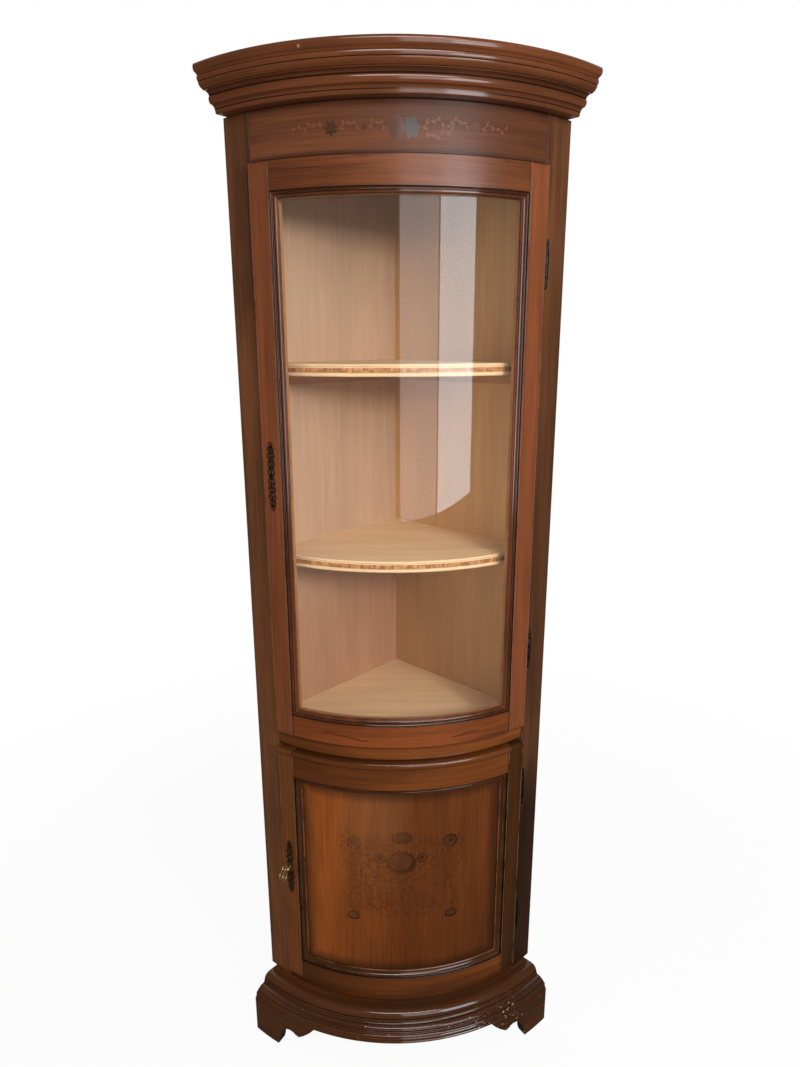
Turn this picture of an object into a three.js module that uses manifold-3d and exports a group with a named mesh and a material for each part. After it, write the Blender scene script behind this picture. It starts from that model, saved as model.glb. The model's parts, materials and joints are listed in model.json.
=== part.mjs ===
// Corner curio cabinet with a bowed front: a glazed door over a panelled door, for the corner of a room.
// Millimetres, +Z up, the bowed front towards -Y and the room corner towards +Y.
// The origin is on the floor, at the middle of the cabinet's bounding box.

import * as THREE from 'three';
import { mergeVertices } from 'three/addons/utils/BufferGeometryUtils.js';
import Module from 'manifold-3d';

const wasm = await Module();
wasm.setup();

// Plan: an arc for the front, and two walls that meet at a right angle
const bowRadius = 445;
const cornerDepth = 412;
const corniceEndDepth = 400;
const baseEndDepth = 390;
const caseThickness = 24;
const panelThickness = 18;

// Heights of the front, one on top of the other from the floor
const footHeight = 84;
const baseMouldingHeight = 46;
const bottomRailHeight = 21.5;
const lowerDoorHeight = 564;
const middleRailHeight = 29.8;
const upperDoorHeight = 1051.5;
const friezeHeight = 77.2;
const corniceHeight = 68;

// Clearances
const fitGap = 0.3;
const doorGap = 2;
const edgeGap = 2.4;
const boltClearance = 0.4;
const overrun = 5;
const mergeTolerance = 0.0001;

// Cornice, base moulding and feet, measured out from the front of the posts
const corniceProjection = 59.5;
const baseProjection = 63;
const footProjection = 62.5;
const footThickness = 20;
const footCutStart = 198;
const footCutLength = 94.5;
const rearFootRun = 95;
const rearFootWidth = 24;
const rearFootDepth = 62;

// Doors
const doorThickness = 24;
const doorProud = 11;
const doorHalfWidth = 253.5;
const upperStileWidth = 43;
const lowerStileWidth = 40;
const upperRailHeight = 47.7;
const lowerTopRailHeight = 61;
const lowerBottomRailHeight = 46.5;
const topBeadHeight = 13;
const topBeadProud = 4;
const glassThickness = 3;
const glassSetBack = 11.5;
const panelBoardThickness = 8;
const panelSetBack = 10.5;
const glazingMouldingWidth = 11;
const panelMouldingWidth = 13;
const retainingBeadWidth = 9;
const retainingBeadBack = 1;

// Shelves and floors
const shelfThickness = 22;
const shelfSetBack = 31.5;
const shelfNoseDepth = 6;
const upperShelfTop = 1478;
const lowerShelfTop = 1118;
const floorThickness = 18;
const floorLipHeight = 11;
const topBoardThickness = 18;
const battenThickness = 14;
const battenHeight = 20;
const battenLength = 290;
const battenStart = 50;
const stopHeight = 16;

// Hinges: a lower half with the pin on the post, an upper half that drops over it on the door
const hingeLength = 77;
const knuckleRadius = 4;
const hingeTurn = 0.3;
const hingePinRadius = 2;
const hingeBoreRadius = 2.3;
const hingePinLength = 20;
const hingeOut = 7;
const hingeAside = 4.6;
const leafThickness = 1.4;
const leafDepth = 16;
const leafMargin = 9;
const upperHingeFromTop = 158;
const upperHingeFromBottom = 170;
const lowerHingeFromTop = 111;
const lowerHingeFromBottom = 129;

// Locks, their plates and the key
const lockBackset = 20.8;
const lockCaseWidth = 31.4;
const lockCaseHeight = 52;
const lockCaseDepth = 11;
const lockEdgeSetBack = 1.4;
const boltHeight = 10;
const boltDepth = 6;
const boltLength = 27.4;
const boltRise = 15;
const boltInset = 3;
const boltThrow = 8;
const pocketRadius = 8.6;
const pocketDepth = 8.5;
const keyholeRadius = 3.4;
const keyholeSlotWidth = 3;
const keyholeSlotDrop = 9;
const plateLength = 130;
const plateWidth = 17;
const plateThickness = 1.6;
const plateHoleWidth = 3.2;
const plateHoleLength = 7;
const strikeThickness = 1.2;
const strikeWidth = 12;
const strikeHeight = 36;
const keyRadius = 2.5;
const keyBitReach = 7.6;
const keyBitThickness = 2.2;
const keyBitLength = 6;
const keyBitInset = 1;
const keyCollarRadius = 4.2;
const keyCollarWidth = 2.4;
const keyNeck = 12;
const keyBowLength = 20;
const keyBowHeight = 28;
const keyBowThickness = 3;
const keyBowHoleRadius = 3.4;
const keyBowSink = 3.5;
const keyBowLobes = 3;
const keyBowWaistShare = 0.2;

// How finely the curves are cut
const bowSteps = 28;
const doorSteps = 22;
const stileSteps = 3;
const postSteps = 3;
const footSteps = 9;
const discSegments = 120;
const turnedSegments = 12;
const keyBowSegments = 36;

// Outlines as shares of the sizes they follow: out from the posts, then up
const corniceShares = [
  [0.311, 0], [0.35, 0.059], [0.361, 0.118], [0.412, 0.169], [0.496, 0.206], [0.538, 0.25], [0.546, 0.301],
  [0.521, 0.36], [0.546, 0.412], [0.605, 0.447], [0.714, 0.463], [0.731, 0.493], [0.798, 0.544], [0.84, 0.61],
  [0.874, 0.64], [0.882, 0.728], [0.933, 0.765], [0.98, 0.824], [1, 0.897], [0.987, 0.963], [0.941, 1],
];
const baseShares = [
  [0.99, 0], [1, 0.02], [0.994, 0.07], [0.96, 0.13], [0.93, 0.18], [0.9, 0.22], [0.905, 0.3], [0.9, 0.36],
  [0.857, 0.39], [0.8, 0.42], [0.77, 0.45], [0.698, 0.485], [0.627, 0.533], [0.571, 0.609], [0.556, 0.674],
  [0.559, 0.739], [0.552, 0.804], [0.508, 0.891], [0.413, 0.967], [0.302, 1],
];
// The cut of a bracket foot: along from its inner end to its tip, and up its height
const footCutShares = [
  [1, 0], [0.92, 0.31], [0.847, 0.512], [0.772, 0.62], [0.677, 0.667], [0.603, 0.66], [0.529, 0.63],
  [0.444, 0.6], [0.37, 0.583], [0.317, 0.595], [0.2, 0.75], [0.106, 0.88], [0, 1],
];
// A door moulding: in from the frame, then out from the pane or panel to the door's face
const mouldingShares = [
  [0, 0], [0, 0.75], [0.06, 0.93], [0.2, 1], [0.36, 0.93], [0.44, 0.75], [0.5, 0.72], [0.85, 0.42],
  [1, 0.36], [1, 0],
];
// A moulded shelf nose: share of its depth, then of the shelf's thickness
const shelfNoseShares = [
  [0.5, 0], [0.9, 0.08], [1, 0.22], [0.75, 0.36], [0.7, 0.5], [0.75, 0.64], [1, 0.78], [0.9, 0.92], [0.5, 1],
];
// A quarter of a lock plate's outline: share of its half length, then of its half width
const plateShares = [
  [0, 0.95], [0.09, 1], [0.17, 0.82], [0.26, 0.7], [0.36, 0.88], [0.46, 0.98], [0.56, 0.76], [0.66, 0.62],
  [0.74, 0.84], [0.82, 0.7], [0.89, 0.42], [0.95, 0.3], [1, 0.06],
];
const plateHoleShares = [-0.68, -0.44, 0.44, 0.68];
// A turned hinge half from its joint to its tip: share of the knuckle's radius, then of the half's length
const hingeShares = [
  [1, 0], [1, 0.56], [0.72, 0.6], [1.05, 0.65], [0.72, 0.7], [0.8, 0.84], [1.1, 0.9], [1.05, 0.96], [0.5, 1],
];

// Finishes
const postWood = finish(0x5c3a2a, 0.45);
const doorWood = finish(0x784128, 0.42);
const panelWood = finish(0x7d4623, 0.4);
const insideWood = finish(0xbe8c64, 0.55);
const hingeMetal = finish(0x2c2620, 0.4, 0.85);
const plateMetal = finish(0x4a4434, 0.45, 0.8);
const brass = finish(0xc8a060, 0.3, 0.95);
const steel = finish(0x8c8880, 0.35, 0.9);
const glass = new THREE.MeshStandardMaterial({
  color: 0xe8eeee,
  roughness: 0.05,
  transparent: true,
  opacity: 0.25,
});

// Radii from the centre of the bow
const postBack = bowRadius - caseThickness;
const doorFace = bowRadius + doorProud;
const doorBack = doorFace - doorThickness;
const lipRadius = doorBack - fitGap;
const insideRadius = postBack - fitGap;
const glassFront = doorFace - glassSetBack;
const panelFront = doorFace - panelSetBack;
const hingeRadius = bowRadius + hingeOut;

// Levels
const baseTop = footHeight + baseMouldingHeight;
const bottomRailTop = baseTop + bottomRailHeight;
const lowerDoorBottom = bottomRailTop + doorGap;
const lowerDoorTop = lowerDoorBottom + lowerDoorHeight;
const middleRailBottom = lowerDoorTop + doorGap;
const middleRailTop = middleRailBottom + middleRailHeight;
const upperDoorBottom = middleRailTop + doorGap;
const upperDoorTop = upperDoorBottom + upperDoorHeight;
const friezeBottom = upperDoorTop + doorGap;
const corniceBottom = friezeBottom + friezeHeight;

// Angles round the bow, from its middle towards +X
const doorAngle = Math.asin(doorHalfWidth / doorFace);
const postAngle = doorAngle + edgeGap / bowRadius;
const railAngle = postAngle - fitGap / bowRadius;
const lockAngle = lockBackset / doorFace - doorAngle;

// The room corner, seen from the centre of the bow, and the walls' share of it
const cornerY = cornerDepth - bowRadius;
const diagonal = Math.SQRT2;
const roomCorner = new THREE.Vector2(0, cornerY);

const cabinet = new THREE.Group();
cabinet.position.y = bowRadius - (cornerDepth - baseProjection) / 2;

buildCase();
buildShelves();
buildTopAndBase();
buildUpperDoor();
buildLowerDoor();
buildKey();

export default cabinet;

// Helpers for finishes, meshes and solids

function finish(color, roughness, metalness = 0) {
  return new THREE.MeshStandardMaterial({ color, roughness, metalness });
}

function add(name, geometry, material) {
  const mesh = new THREE.Mesh(geometry, material);
  mesh.name = name;
  cabinet.add(mesh);
}

function meshFrom(positions, triangles) {
  const geometry = new THREE.BufferGeometry();
  geometry.setAttribute('position', new THREE.Float32BufferAttribute(positions, 3));
  geometry.setIndex(triangles);
  return geometry;
}

function solidFrom(geometry) {
  const bare = geometry.clone();
  bare.deleteAttribute('normal');
  bare.deleteAttribute('uv');
  const merged = mergeVertices(bare, mergeTolerance);
  return new wasm.Manifold(new wasm.Mesh({
    numProp: 3,
    vertProperties: merged.attributes.position.array,
    triVerts: Uint32Array.from(merged.index.array),
  }));
}

function geometryFrom(solid) {
  const mesh = solid.getMesh();
  return meshFrom(Array.from(mesh.vertProperties), Array.from(mesh.triVerts));
}

function join(...geometries) {
  return geometryFrom(geometries.map(solidFrom).reduce((whole, piece) => whole.add(piece)));
}

function cut(geometry, ...cutters) {
  const solids = cutters.map(solidFrom);
  return geometryFrom(solids.reduce((whole, cutter) => whole.subtract(cutter), solidFrom(geometry)));
}

// Shapes bent round the bow

// The angle at which a circle about the bow's centre meets a wall plane at a given depth from the front
function wallAngle(radius, depth) {
  return Math.PI / 4 + Math.asin((depth - bowRadius) / (radius * diagonal));
}

// An outline of [radius, height] points carried round the bow, each point from its own start to its own end
function sweepBow(outline, startAngle, endAngle, steps) {
  const ring = THREE.ShapeUtils.isClockWise(outline) ? outline.toReversed() : outline;
  const positions = [];
  for (let step = 0; step <= steps; step += 1) {
    for (const point of ring) {
      const start = startAngle(point.x);
      const angle = start + (endAngle(point.x) - start) * step / steps;
      positions.push(point.x * Math.sin(angle), -point.x * Math.cos(angle), point.y);
    }
  }
  const count = ring.length;
  const last = steps * count;
  const triangles = [];
  for (const [a, b, c] of THREE.ShapeUtils.triangulateShape(ring, [])) {
    triangles.push(a, b, c);
    triangles.push(last + c, last + b, last + a);
  }
  for (let step = 0; step < steps; step += 1) {
    for (let index = 0; index < count; index += 1) {
      const near = step * count;
      const far = near + count;
      const next = (index + 1) % count;
      triangles.push(near + index, far + next, near + next);
      triangles.push(near + index, far + index, far + next);
    }
  }
  return meshFrom(positions, triangles);
}

function rectangle(inner, outer, bottom, top) {
  return [
    new THREE.Vector2(inner, bottom),
    new THREE.Vector2(outer, bottom),
    new THREE.Vector2(outer, top),
    new THREE.Vector2(inner, top),
  ];
}

// A bent board between two angles
function bentBoard(outline, from, to, steps) {
  return sweepBow(outline, () => from, () => to, steps);
}

// A mitred frame bent round the bow: an outline of [inset, radius] points led round a rectangular opening
function bentFrame(outline, halfAngle, bottom, top, steps) {
  const ring = THREE.ShapeUtils.isClockWise(outline) ? outline.toReversed() : outline;
  const stations = [];
  for (let step = 0; step <= steps; step += 1) {
    stations.push({ across: 2 * step / steps - 1, level: bottom, up: 1 });
  }
  for (let step = 0; step <= steps; step += 1) {
    stations.push({ across: 1 - 2 * step / steps, level: top, up: -1 });
  }
  const positions = [];
  for (const { across, level, up } of stations) {
    for (const point of ring) {
      const angle = across * (halfAngle - point.x / doorFace);
      positions.push(point.y * Math.sin(angle), -point.y * Math.cos(angle), level + up * point.x);
    }
  }
  const count = ring.length;
  const triangles = [];
  for (let station = 0; station < stations.length; station += 1) {
    const near = station * count;
    const far = ((station + 1) % stations.length) * count;
    for (let index = 0; index < count; index += 1) {
      const next = (index + 1) % count;
      triangles.push(near + index, near + next, far + next);
      triangles.push(near + index, far + next, far + index);
    }
  }
  return meshFrom(positions, triangles);
}

// Flat shapes that lie square to the bow at one angle: along the bow, in from its centre, up

function block(along, radii, levels, angle = 0) {
  const box = new THREE.BoxGeometry(along[1] - along[0], radii[1] - radii[0], levels[1] - levels[0]);
  box.translate((along[0] + along[1]) / 2, -(radii[0] + radii[1]) / 2, (levels[0] + levels[1]) / 2);
  return box.rotateZ(angle);
}

// A round bar that points out of the bow
function rod(radius, radii, level, angle) {
  const bar = new THREE.CylinderGeometry(radius, radius, radii[1] - radii[0], turnedSegments);
  bar.translate(0, -(radii[0] + radii[1]) / 2, level);
  return bar.rotateZ(angle);
}

// A flat plate square to the bow, from a shape drawn along the bow and up
function plate(shape, radii, level, angle) {
  const sheet = new THREE.ExtrudeGeometry(shape, { depth: radii[1] - radii[0], bevelEnabled: false });
  sheet.rotateX(Math.PI / 2);
  sheet.translate(0, -radii[0], level);
  return sheet.rotateZ(angle);
}

// A turned piece about an upright axis, from [radius, height] points that start and end on the axis
function turned(points, segments) {
  return new THREE.LatheGeometry(points, segments).rotateX(Math.PI / 2);
}

// Shapes that follow the walls

// A plan point by the wall on one side (-1 left, 1 right): along it from the room corner, and in from it
function byWall(side, along, inwards) {
  const x = side * (along - inwards) / diagonal;
  return new THREE.Vector2(x, cornerY - (along + inwards) / diagonal);
}

function upright(points, bottom, top) {
  const shape = new THREE.Shape(points);
  const prism = new THREE.ExtrudeGeometry(shape, { depth: top - bottom, bevelEnabled: false });
  return prism.translate(0, 0, bottom);
}

// A board that fills the corner: a turned disc with the given rim, kept where it lies between the walls
function cornerBoard(rim, wallInset, bottom, top) {
  const disc = turned([new THREE.Vector2(0, bottom), ...rim, new THREE.Vector2(0, top)], discSegments);
  const reach = 2 * bowRadius;
  const apex = roomCorner.y - wallInset * diagonal;
  const wedge = upright(
    [
      new THREE.Vector2(0, apex),
      new THREE.Vector2(-reach, apex - reach),
      new THREE.Vector2(reach, apex - reach),
    ],
    bottom - overrun,
    top + overrun,
  );
  return geometryFrom(solidFrom(disc).intersect(solidFrom(wedge)));
}

// The case: back, posts, rails and stops

function buildCase() {
  const offset = cornerDepth - bowRadius;
  const inner = panelThickness * diagonal;
  const reach = Math.sqrt(2 * insideRadius ** 2 - (inner - offset) ** 2);
  const panelLength = (reach + offset) / 2 * diagonal;
  for (const [side, word] of [[-1, 'left'], [1, 'right']]) {
    const outline = [
      roomCorner,
      new THREE.Vector2(0, cornerY - inner),
      byWall(side, panelLength, panelThickness),
      byWall(side, panelLength, 0),
    ];
    add(`${word}_back_panel`, upright(outline, footHeight, corniceBottom), insideWood);
  }

  const postOutline = rectangle(postBack, bowRadius, baseTop, corniceBottom);
  const wallSide = (radius) => wallAngle(radius, cornerDepth);
  add('right_post', sweepBow(postOutline, () => postAngle, wallSide, postSteps), postWood);
  const plainLeftPost = sweepBow(postOutline, (radius) => -wallSide(radius), () => -postAngle, postSteps);
  const pockets = [lockLevel('upper'), lockLevel('lower')].map(boltWay);
  add('left_post', cut(plainLeftPost, ...pockets), postWood);

  const rail = (bottom, top) => (
    bentBoard(rectangle(postBack, bowRadius, bottom, top), -railAngle, railAngle, bowSteps));
  add('frieze_rail', rail(friezeBottom, corniceBottom), doorWood);
  add('middle_rail', rail(middleRailBottom, middleRailTop), doorWood);
  add('bottom_rail', rail(baseTop, bottomRailTop), postWood);

  const stop = (top) => (
    bentBoard(rectangle(postBack, lipRadius, top - stopHeight, top), -railAngle, railAngle, bowSteps));
  add('upper_door_stop', stop(friezeBottom), insideWood);
  add('lower_door_stop', stop(middleRailBottom), insideWood);

  for (const word of ['upper', 'lower']) {
    const centre = lockLevel(word) + boltRise;
    const levels = [centre - strikeHeight / 2, centre + strikeHeight / 2];
    const middle = boltMiddle();
    const radii = [middle - strikeWidth / 2, middle + strikeWidth / 2];
    const flat = block([fitGap, fitGap + strikeThickness], radii, levels, -postAngle);
    add(`${word}_strike_plate`, cut(flat, boltWay(lockLevel(word))), brass);
  }
}

function buildShelves() {
  const rimRadius = bowRadius - shelfSetBack;
  const noseStart = rimRadius - shelfNoseDepth;
  const wallInset = panelThickness + fitGap;
  for (const [word, top] of [['upper', upperShelfTop], ['lower', lowerShelfTop]]) {
    const bottom = top - shelfThickness;
    const rim = shelfNoseShares.map(([out, up]) => (
      new THREE.Vector2(noseStart + out * shelfNoseDepth, bottom + up * shelfThickness)));
    add(`${word}_shelf`, cornerBoard(rim, wallInset, bottom, top), insideWood);
    for (const [side, sideWord] of [[-1, 'left'], [1, 'right']]) {
      const outline = [
        byWall(side, battenStart, wallInset),
        byWall(side, battenStart + battenLength, wallInset),
        byWall(side, battenStart + battenLength, wallInset + battenThickness),
        byWall(side, battenStart, wallInset + battenThickness),
      ];
      add(`${word}_shelf_${sideWord}_batten`, upright(outline, bottom - battenHeight, bottom), insideWood);
    }
  }

  // Both floors lie behind the rail in front of them, with a lip over it that stops the door
  for (const [name, railTop] of [['display_floor', middleRailTop], ['cupboard_floor', bottomRailTop]]) {
    const top = railTop + floorLipHeight;
    const rim = rectangle(0, insideRadius, top - floorThickness, top).slice(1, 3);
    const board = cornerBoard(rim, wallInset, top - floorThickness, top);
    const lip = bentBoard(
      rectangle(insideRadius - overrun, lipRadius, railTop, top), -railAngle, railAngle, bowSteps);
    add(name, join(board, lip), insideWood);
  }

  const lidRim = rectangle(0, insideRadius, corniceBottom, corniceBottom + topBoardThickness).slice(1, 3);
  add('top_board', cornerBoard(lidRim, 0, corniceBottom, corniceBottom + topBoardThickness), postWood);
}

function buildTopAndBase() {
  const moulding = (shares, projection, bottom, height, depth) => {
    const face = shares.map(([out, up]) => (
      new THREE.Vector2(bowRadius + out * projection, bottom + up * height)));
    const low = new THREE.Vector2(postBack, bottom);
    const high = new THREE.Vector2(postBack, bottom + height);
    const outline = [low, ...face, high];
    const end = (radius) => wallAngle(radius, depth);
    return sweepBow(outline, (radius) => -end(radius), end, bowSteps);
  };
  const cornice = moulding(corniceShares, corniceProjection, corniceBottom, corniceHeight, corniceEndDepth);
  const base = moulding(baseShares, baseProjection, footHeight, baseMouldingHeight, baseEndDepth);
  add('cornice', cornice, postWood);
  add('base_moulding', base, postWood);

  // Bracket feet: a bent board each, with the cut taken out square to the board
  const face = bowRadius + footProjection;
  const board = rectangle(face - footThickness, face, 0, footHeight);
  const end = (radius) => wallAngle(radius, baseEndDepth);
  const cutMiddle = footCutStart + footCutLength / 2;
  for (const [side, word] of [[-1, 'left'], [1, 'right']]) {
    const start = footCutStart / face;
    const plain = side < 0
      ? sweepBow(board, (radius) => -end(radius), () => -start, footSteps)
      : sweepBow(board, () => start, end, footSteps);
    const edge = footCutShares.map(([along, up]) => (
      new THREE.Vector2(side * (footCutStart + along * footCutLength - cutMiddle), up * footHeight)));
    const corner = new THREE.Vector2(side * -cutMiddle / 2, footHeight);
    const below = new THREE.Vector2(side * -cutMiddle / 2, -overrun);
    const tip = new THREE.Vector2(edge[0].x, -overrun);
    const shape = new THREE.Shape([tip, ...edge, corner, below]);
    const cutRadii = [face - 2 * footThickness, face + footThickness];
    const cutter = plate(shape, cutRadii, 0, side * cutMiddle / face);
    add(`${word}_bracket_foot`, cut(plain, cutter), postWood);
  }

  const rearOutline = [
    roomCorner,
    byWall(1, rearFootRun, 0),
    byWall(1, rearFootRun, rearFootWidth),
    new THREE.Vector2(0, cornerY - rearFootDepth),
    byWall(-1, rearFootRun, rearFootWidth),
    byWall(-1, rearFootRun, 0),
  ];
  add('rear_foot', upright(rearOutline, 0, footHeight), postWood);
}

// Hinges

// The hinge axis in the plan, seen from the centre of the bow
function hingeAxis() {
  const along = hingeAside;
  return new THREE.Vector2(
    hingeRadius * Math.sin(doorAngle) + along * Math.cos(doorAngle),
    -hingeRadius * Math.cos(doorAngle) + along * Math.sin(doorAngle),
  );
}

function buildHinge(name, centre) {
  const half = hingeLength / 2;
  const axis = hingeAxis();
  const start = hingeTurn / 2;
  const face = (up) => hingeShares.map(([out, share]) => (
    new THREE.Vector2(out * knuckleRadius, centre + up * (start + share * (half - start)))));
  const lowerTip = new THREE.Vector2(0, centre - half);
  const upperTip = new THREE.Vector2(0, centre + half);
  const pin = [
    new THREE.Vector2(hingePinRadius, centre - start),
    new THREE.Vector2(hingePinRadius, centre - start + hingePinLength),
    new THREE.Vector2(0, centre - start + hingePinLength),
  ];
  const bore = [
    new THREE.Vector2(0, centre + start + hingePinLength),
    new THREE.Vector2(hingeBoreRadius, centre + start + hingePinLength),
    new THREE.Vector2(hingeBoreRadius, centre + start),
  ];
  const postHalf = turned([lowerTip, ...face(-1).reverse(), ...pin], turnedSegments);
  const doorHalf = turned([...bore, ...face(1), upperTip], turnedSegments);
  postHalf.translate(axis.x, axis.y, 0);
  doorHalf.translate(axis.x, axis.y, 0);
  const leafRadii = [hingeRadius - leafDepth, hingeRadius];
  const postLeaf = block(
    [edgeGap - fitGap - leafThickness, edgeGap - fitGap],
    leafRadii, [centre - half + leafMargin, centre - start], doorAngle);
  const doorLeaf = block(
    [fitGap, fitGap + leafThickness],
    leafRadii, [centre + start, centre + half - leafMargin], doorAngle);
  const boreWay = turned([
    new THREE.Vector2(0, centre),
    new THREE.Vector2(hingeBoreRadius, centre),
    bore[1],
    bore[0],
  ], turnedSegments).translate(axis.x, axis.y, 0);
  add(`${name}_post_half`, join(postHalf, postLeaf), hingeMetal);
  add(`${name}_door_half`, cut(join(doorHalf, doorLeaf), boreWay), hingeMetal);
}

// Locks

function lockLevel(word) {
  const [bottom, height] = word === 'upper'
    ? [upperDoorBottom, upperDoorHeight]
    : [lowerDoorBottom, lowerDoorHeight];
  return bottom + height / 2;
}

// Radius of the middle of the bolt
function boltMiddle() {
  return doorBack + fitGap + boltInset + boltDepth / 2;
}

// The way the bolt takes through the strike plate and into the post
function boltWay(level) {
  const middle = boltMiddle();
  const halfDepth = boltDepth / 2 + 2 * boltClearance;
  const halfHeight = boltHeight / 2 + 2 * boltClearance;
  const nose = lockEdgeSetBack - lockBackset;
  return block(
    [nose - boltThrow - 2 * boltClearance - lockEdgeSetBack, nose],
    [middle - halfDepth, middle + halfDepth],
    [level + boltRise - halfHeight, level + boltRise + halfHeight],
    lockAngle);
}

function keyhole(radii, level) {
  const round = rod(keyholeRadius, radii, level, lockAngle);
  const half = keyholeSlotWidth / 2;
  const slot = block([-half, half], radii, [level - keyholeSlotDrop, level], lockAngle);
  return join(round, slot);
}

function lockMortise(level) {
  const front = doorBack + fitGap + lockCaseDepth;
  const edge = lockEdgeSetBack - lockBackset;
  const half = lockCaseHeight / 2;
  return block(
    [edge - overrun, edge + lockCaseWidth + fitGap],
    [doorBack - overrun, front + fitGap],
    [level - half - fitGap, level + half + fitGap],
    lockAngle);
}

function buildLock(word) {
  const level = lockLevel(word);
  const back = doorBack + fitGap;
  const front = back + lockCaseDepth;
  const edge = lockEdgeSetBack - lockBackset;
  const half = lockCaseHeight / 2;
  const solid = block([edge, edge + lockCaseWidth], [back, front], [level - half, level + half], lockAngle);
  const pocket = rod(pocketRadius, [front - pocketDepth, front + overrun], level, lockAngle);
  const middle = boltMiddle();
  const halfDepth = boltDepth / 2 + boltClearance;
  const halfHeight = boltHeight / 2 + boltClearance;
  const boltLevel = level + boltRise;
  const channel = block(
    [edge - overrun, edge + boltLength + boltClearance],
    [middle - halfDepth, middle + halfDepth],
    [boltLevel - halfHeight, boltLevel + halfHeight],
    lockAngle);
  add(`${word}_lock_case`, cut(solid, pocket, channel), steel);
  const bolt = block(
    [edge, edge + boltLength],
    [middle - boltDepth / 2, middle + boltDepth / 2],
    [boltLevel - boltHeight / 2, boltLevel + boltHeight / 2],
    lockAngle);
  add(`${word}_lock_bolt`, bolt, brass);

  const outline = [];
  for (const [upWay, outWay] of [[1, 1], [-1, 1], [-1, -1], [1, -1]]) {
    const quarter = plateShares.map(([up, out]) => (
      new THREE.Vector2(outWay * out * plateWidth / 2, upWay * up * plateLength / 2)));
    outline.push(...(upWay * outWay > 0 ? quarter.reverse() : quarter).slice(1));
  }
  const sheetRadii = [doorFace + fitGap, doorFace + fitGap + plateThickness];
  const sheet = plate(new THREE.Shape(outline), sheetRadii, level, lockAngle);
  const holeRadii = [doorFace - overrun, doorFace + overrun];
  const holes = plateHoleShares.map((share) => {
    const centre = level + share * plateLength / 2;
    return block(
      [-plateHoleWidth / 2, plateHoleWidth / 2],
      holeRadii,
      [centre - plateHoleLength / 2, centre + plateHoleLength / 2],
      lockAngle);
  });
  add(`${word}_lock_plate`, cut(sheet, keyhole(holeRadii, level), ...holes), plateMetal);
}

// Doors

// The opening inside a door's frame, and the frame around it
function buildDoorFrame(name, size, material) {
  const opening = doorAngle - size.stile / doorFace;
  const railEnd = opening - fitGap / doorFace;
  const openingBottom = size.bottom + size.bottomRail;
  const openingTop = size.top - size.topRail;
  const stileOutline = doorEdge(size.bottom, size.top, size.bead);
  const left = bentBoard(stileOutline, -doorAngle, -opening, stileSteps);
  const level = lockLevel(name);
  const wayRadii = [doorBack + fitGap + lockCaseDepth - overrun, doorFace + overrun];
  add(`${name}_door_left_stile`, cut(left, lockMortise(level), keyhole(wayRadii, level)), material);
  add(`${name}_door_right_stile`, bentBoard(stileOutline, opening, doorAngle, stileSteps), material);
  const topOutline = doorEdge(openingTop, size.top, size.bead);
  add(`${name}_door_top_rail`, bentBoard(topOutline, -railEnd, railEnd, doorSteps), material);
  const bottomOutline = rectangle(doorBack, doorFace, size.bottom, openingBottom);
  add(`${name}_door_bottom_rail`, bentBoard(bottomOutline, -railEnd, railEnd, doorSteps), material);

  // The pane or panel, the moulding in front of it and the beads behind it, all inside the opening
  const reach = opening - fitGap / doorFace;
  const low = openingBottom + fitGap;
  const high = openingTop - fitGap;
  const back = size.infillFront - size.infillThickness;
  const infill = bentBoard(rectangle(back, size.infillFront, low, high), -reach, reach, doorSteps);
  add(size.infillName, infill, size.infillMaterial);
  const near = size.infillFront + fitGap;
  const profile = mouldingShares.map(([inwards, out]) => (
    new THREE.Vector2(inwards * size.mouldingWidth, near + out * (doorFace - near))));
  add(`${name}_door_moulding`, bentFrame(profile, reach, low, high, doorSteps), material);
  const beadRadii = [doorBack + retainingBeadBack, back - fitGap];
  const turn = retainingBeadWidth / doorFace;
  const across = reach - turn - fitGap / doorFace;
  const bar = (bottom, top, from, to, steps) => (
    bentBoard(rectangle(...beadRadii, bottom, top), from, to, steps));
  add(`${name}_door_left_bead`, bar(low, high, -reach, turn - reach, 1), insideWood);
  add(`${name}_door_right_bead`, bar(low, high, reach - turn, reach, 1), insideWood);
  const topBead = bar(high - retainingBeadWidth, high, -across, across, doorSteps);
  const bottomBead = bar(low, low + retainingBeadWidth, -across, across, doorSteps);
  add(`${name}_door_top_bead`, topBead, insideWood);
  add(`${name}_door_bottom_bead`, bottomBead, insideWood);
}

// A door member's section, with a half-round bead along its top edge where asked
function doorEdge(bottom, top, bead) {
  if (!bead) {
    return rectangle(doorBack, doorFace, bottom, top);
  }
  const half = topBeadHeight / 2;
  const nose = [];
  for (let step = 0; step <= turnedSegments / 2; step += 1) {
    const angle = Math.PI * (step / (turnedSegments / 2) - 1 / 2);
    nose.push(new THREE.Vector2(
      doorFace + topBeadProud * Math.cos(angle),
      top - half + half * Math.sin(angle)));
  }
  return [
    new THREE.Vector2(doorBack, bottom),
    new THREE.Vector2(doorFace, bottom),
    ...nose,
    new THREE.Vector2(doorBack, top),
  ];
}

function buildUpperDoor() {
  buildDoorFrame('upper', {
    bottom: upperDoorBottom,
    top: upperDoorTop,
    stile: upperStileWidth,
    topRail: upperRailHeight,
    bottomRail: upperRailHeight,
    bead: false,
    infillName: 'upper_door_glass',
    infillFront: glassFront,
    infillThickness: glassThickness,
    infillMaterial: glass,
    mouldingWidth: glazingMouldingWidth,
  }, doorWood);
  buildLock('upper');
  buildHinge('upper_door_top_hinge', upperDoorTop - upperHingeFromTop);
  buildHinge('upper_door_bottom_hinge', upperDoorBottom + upperHingeFromBottom);
}

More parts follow.
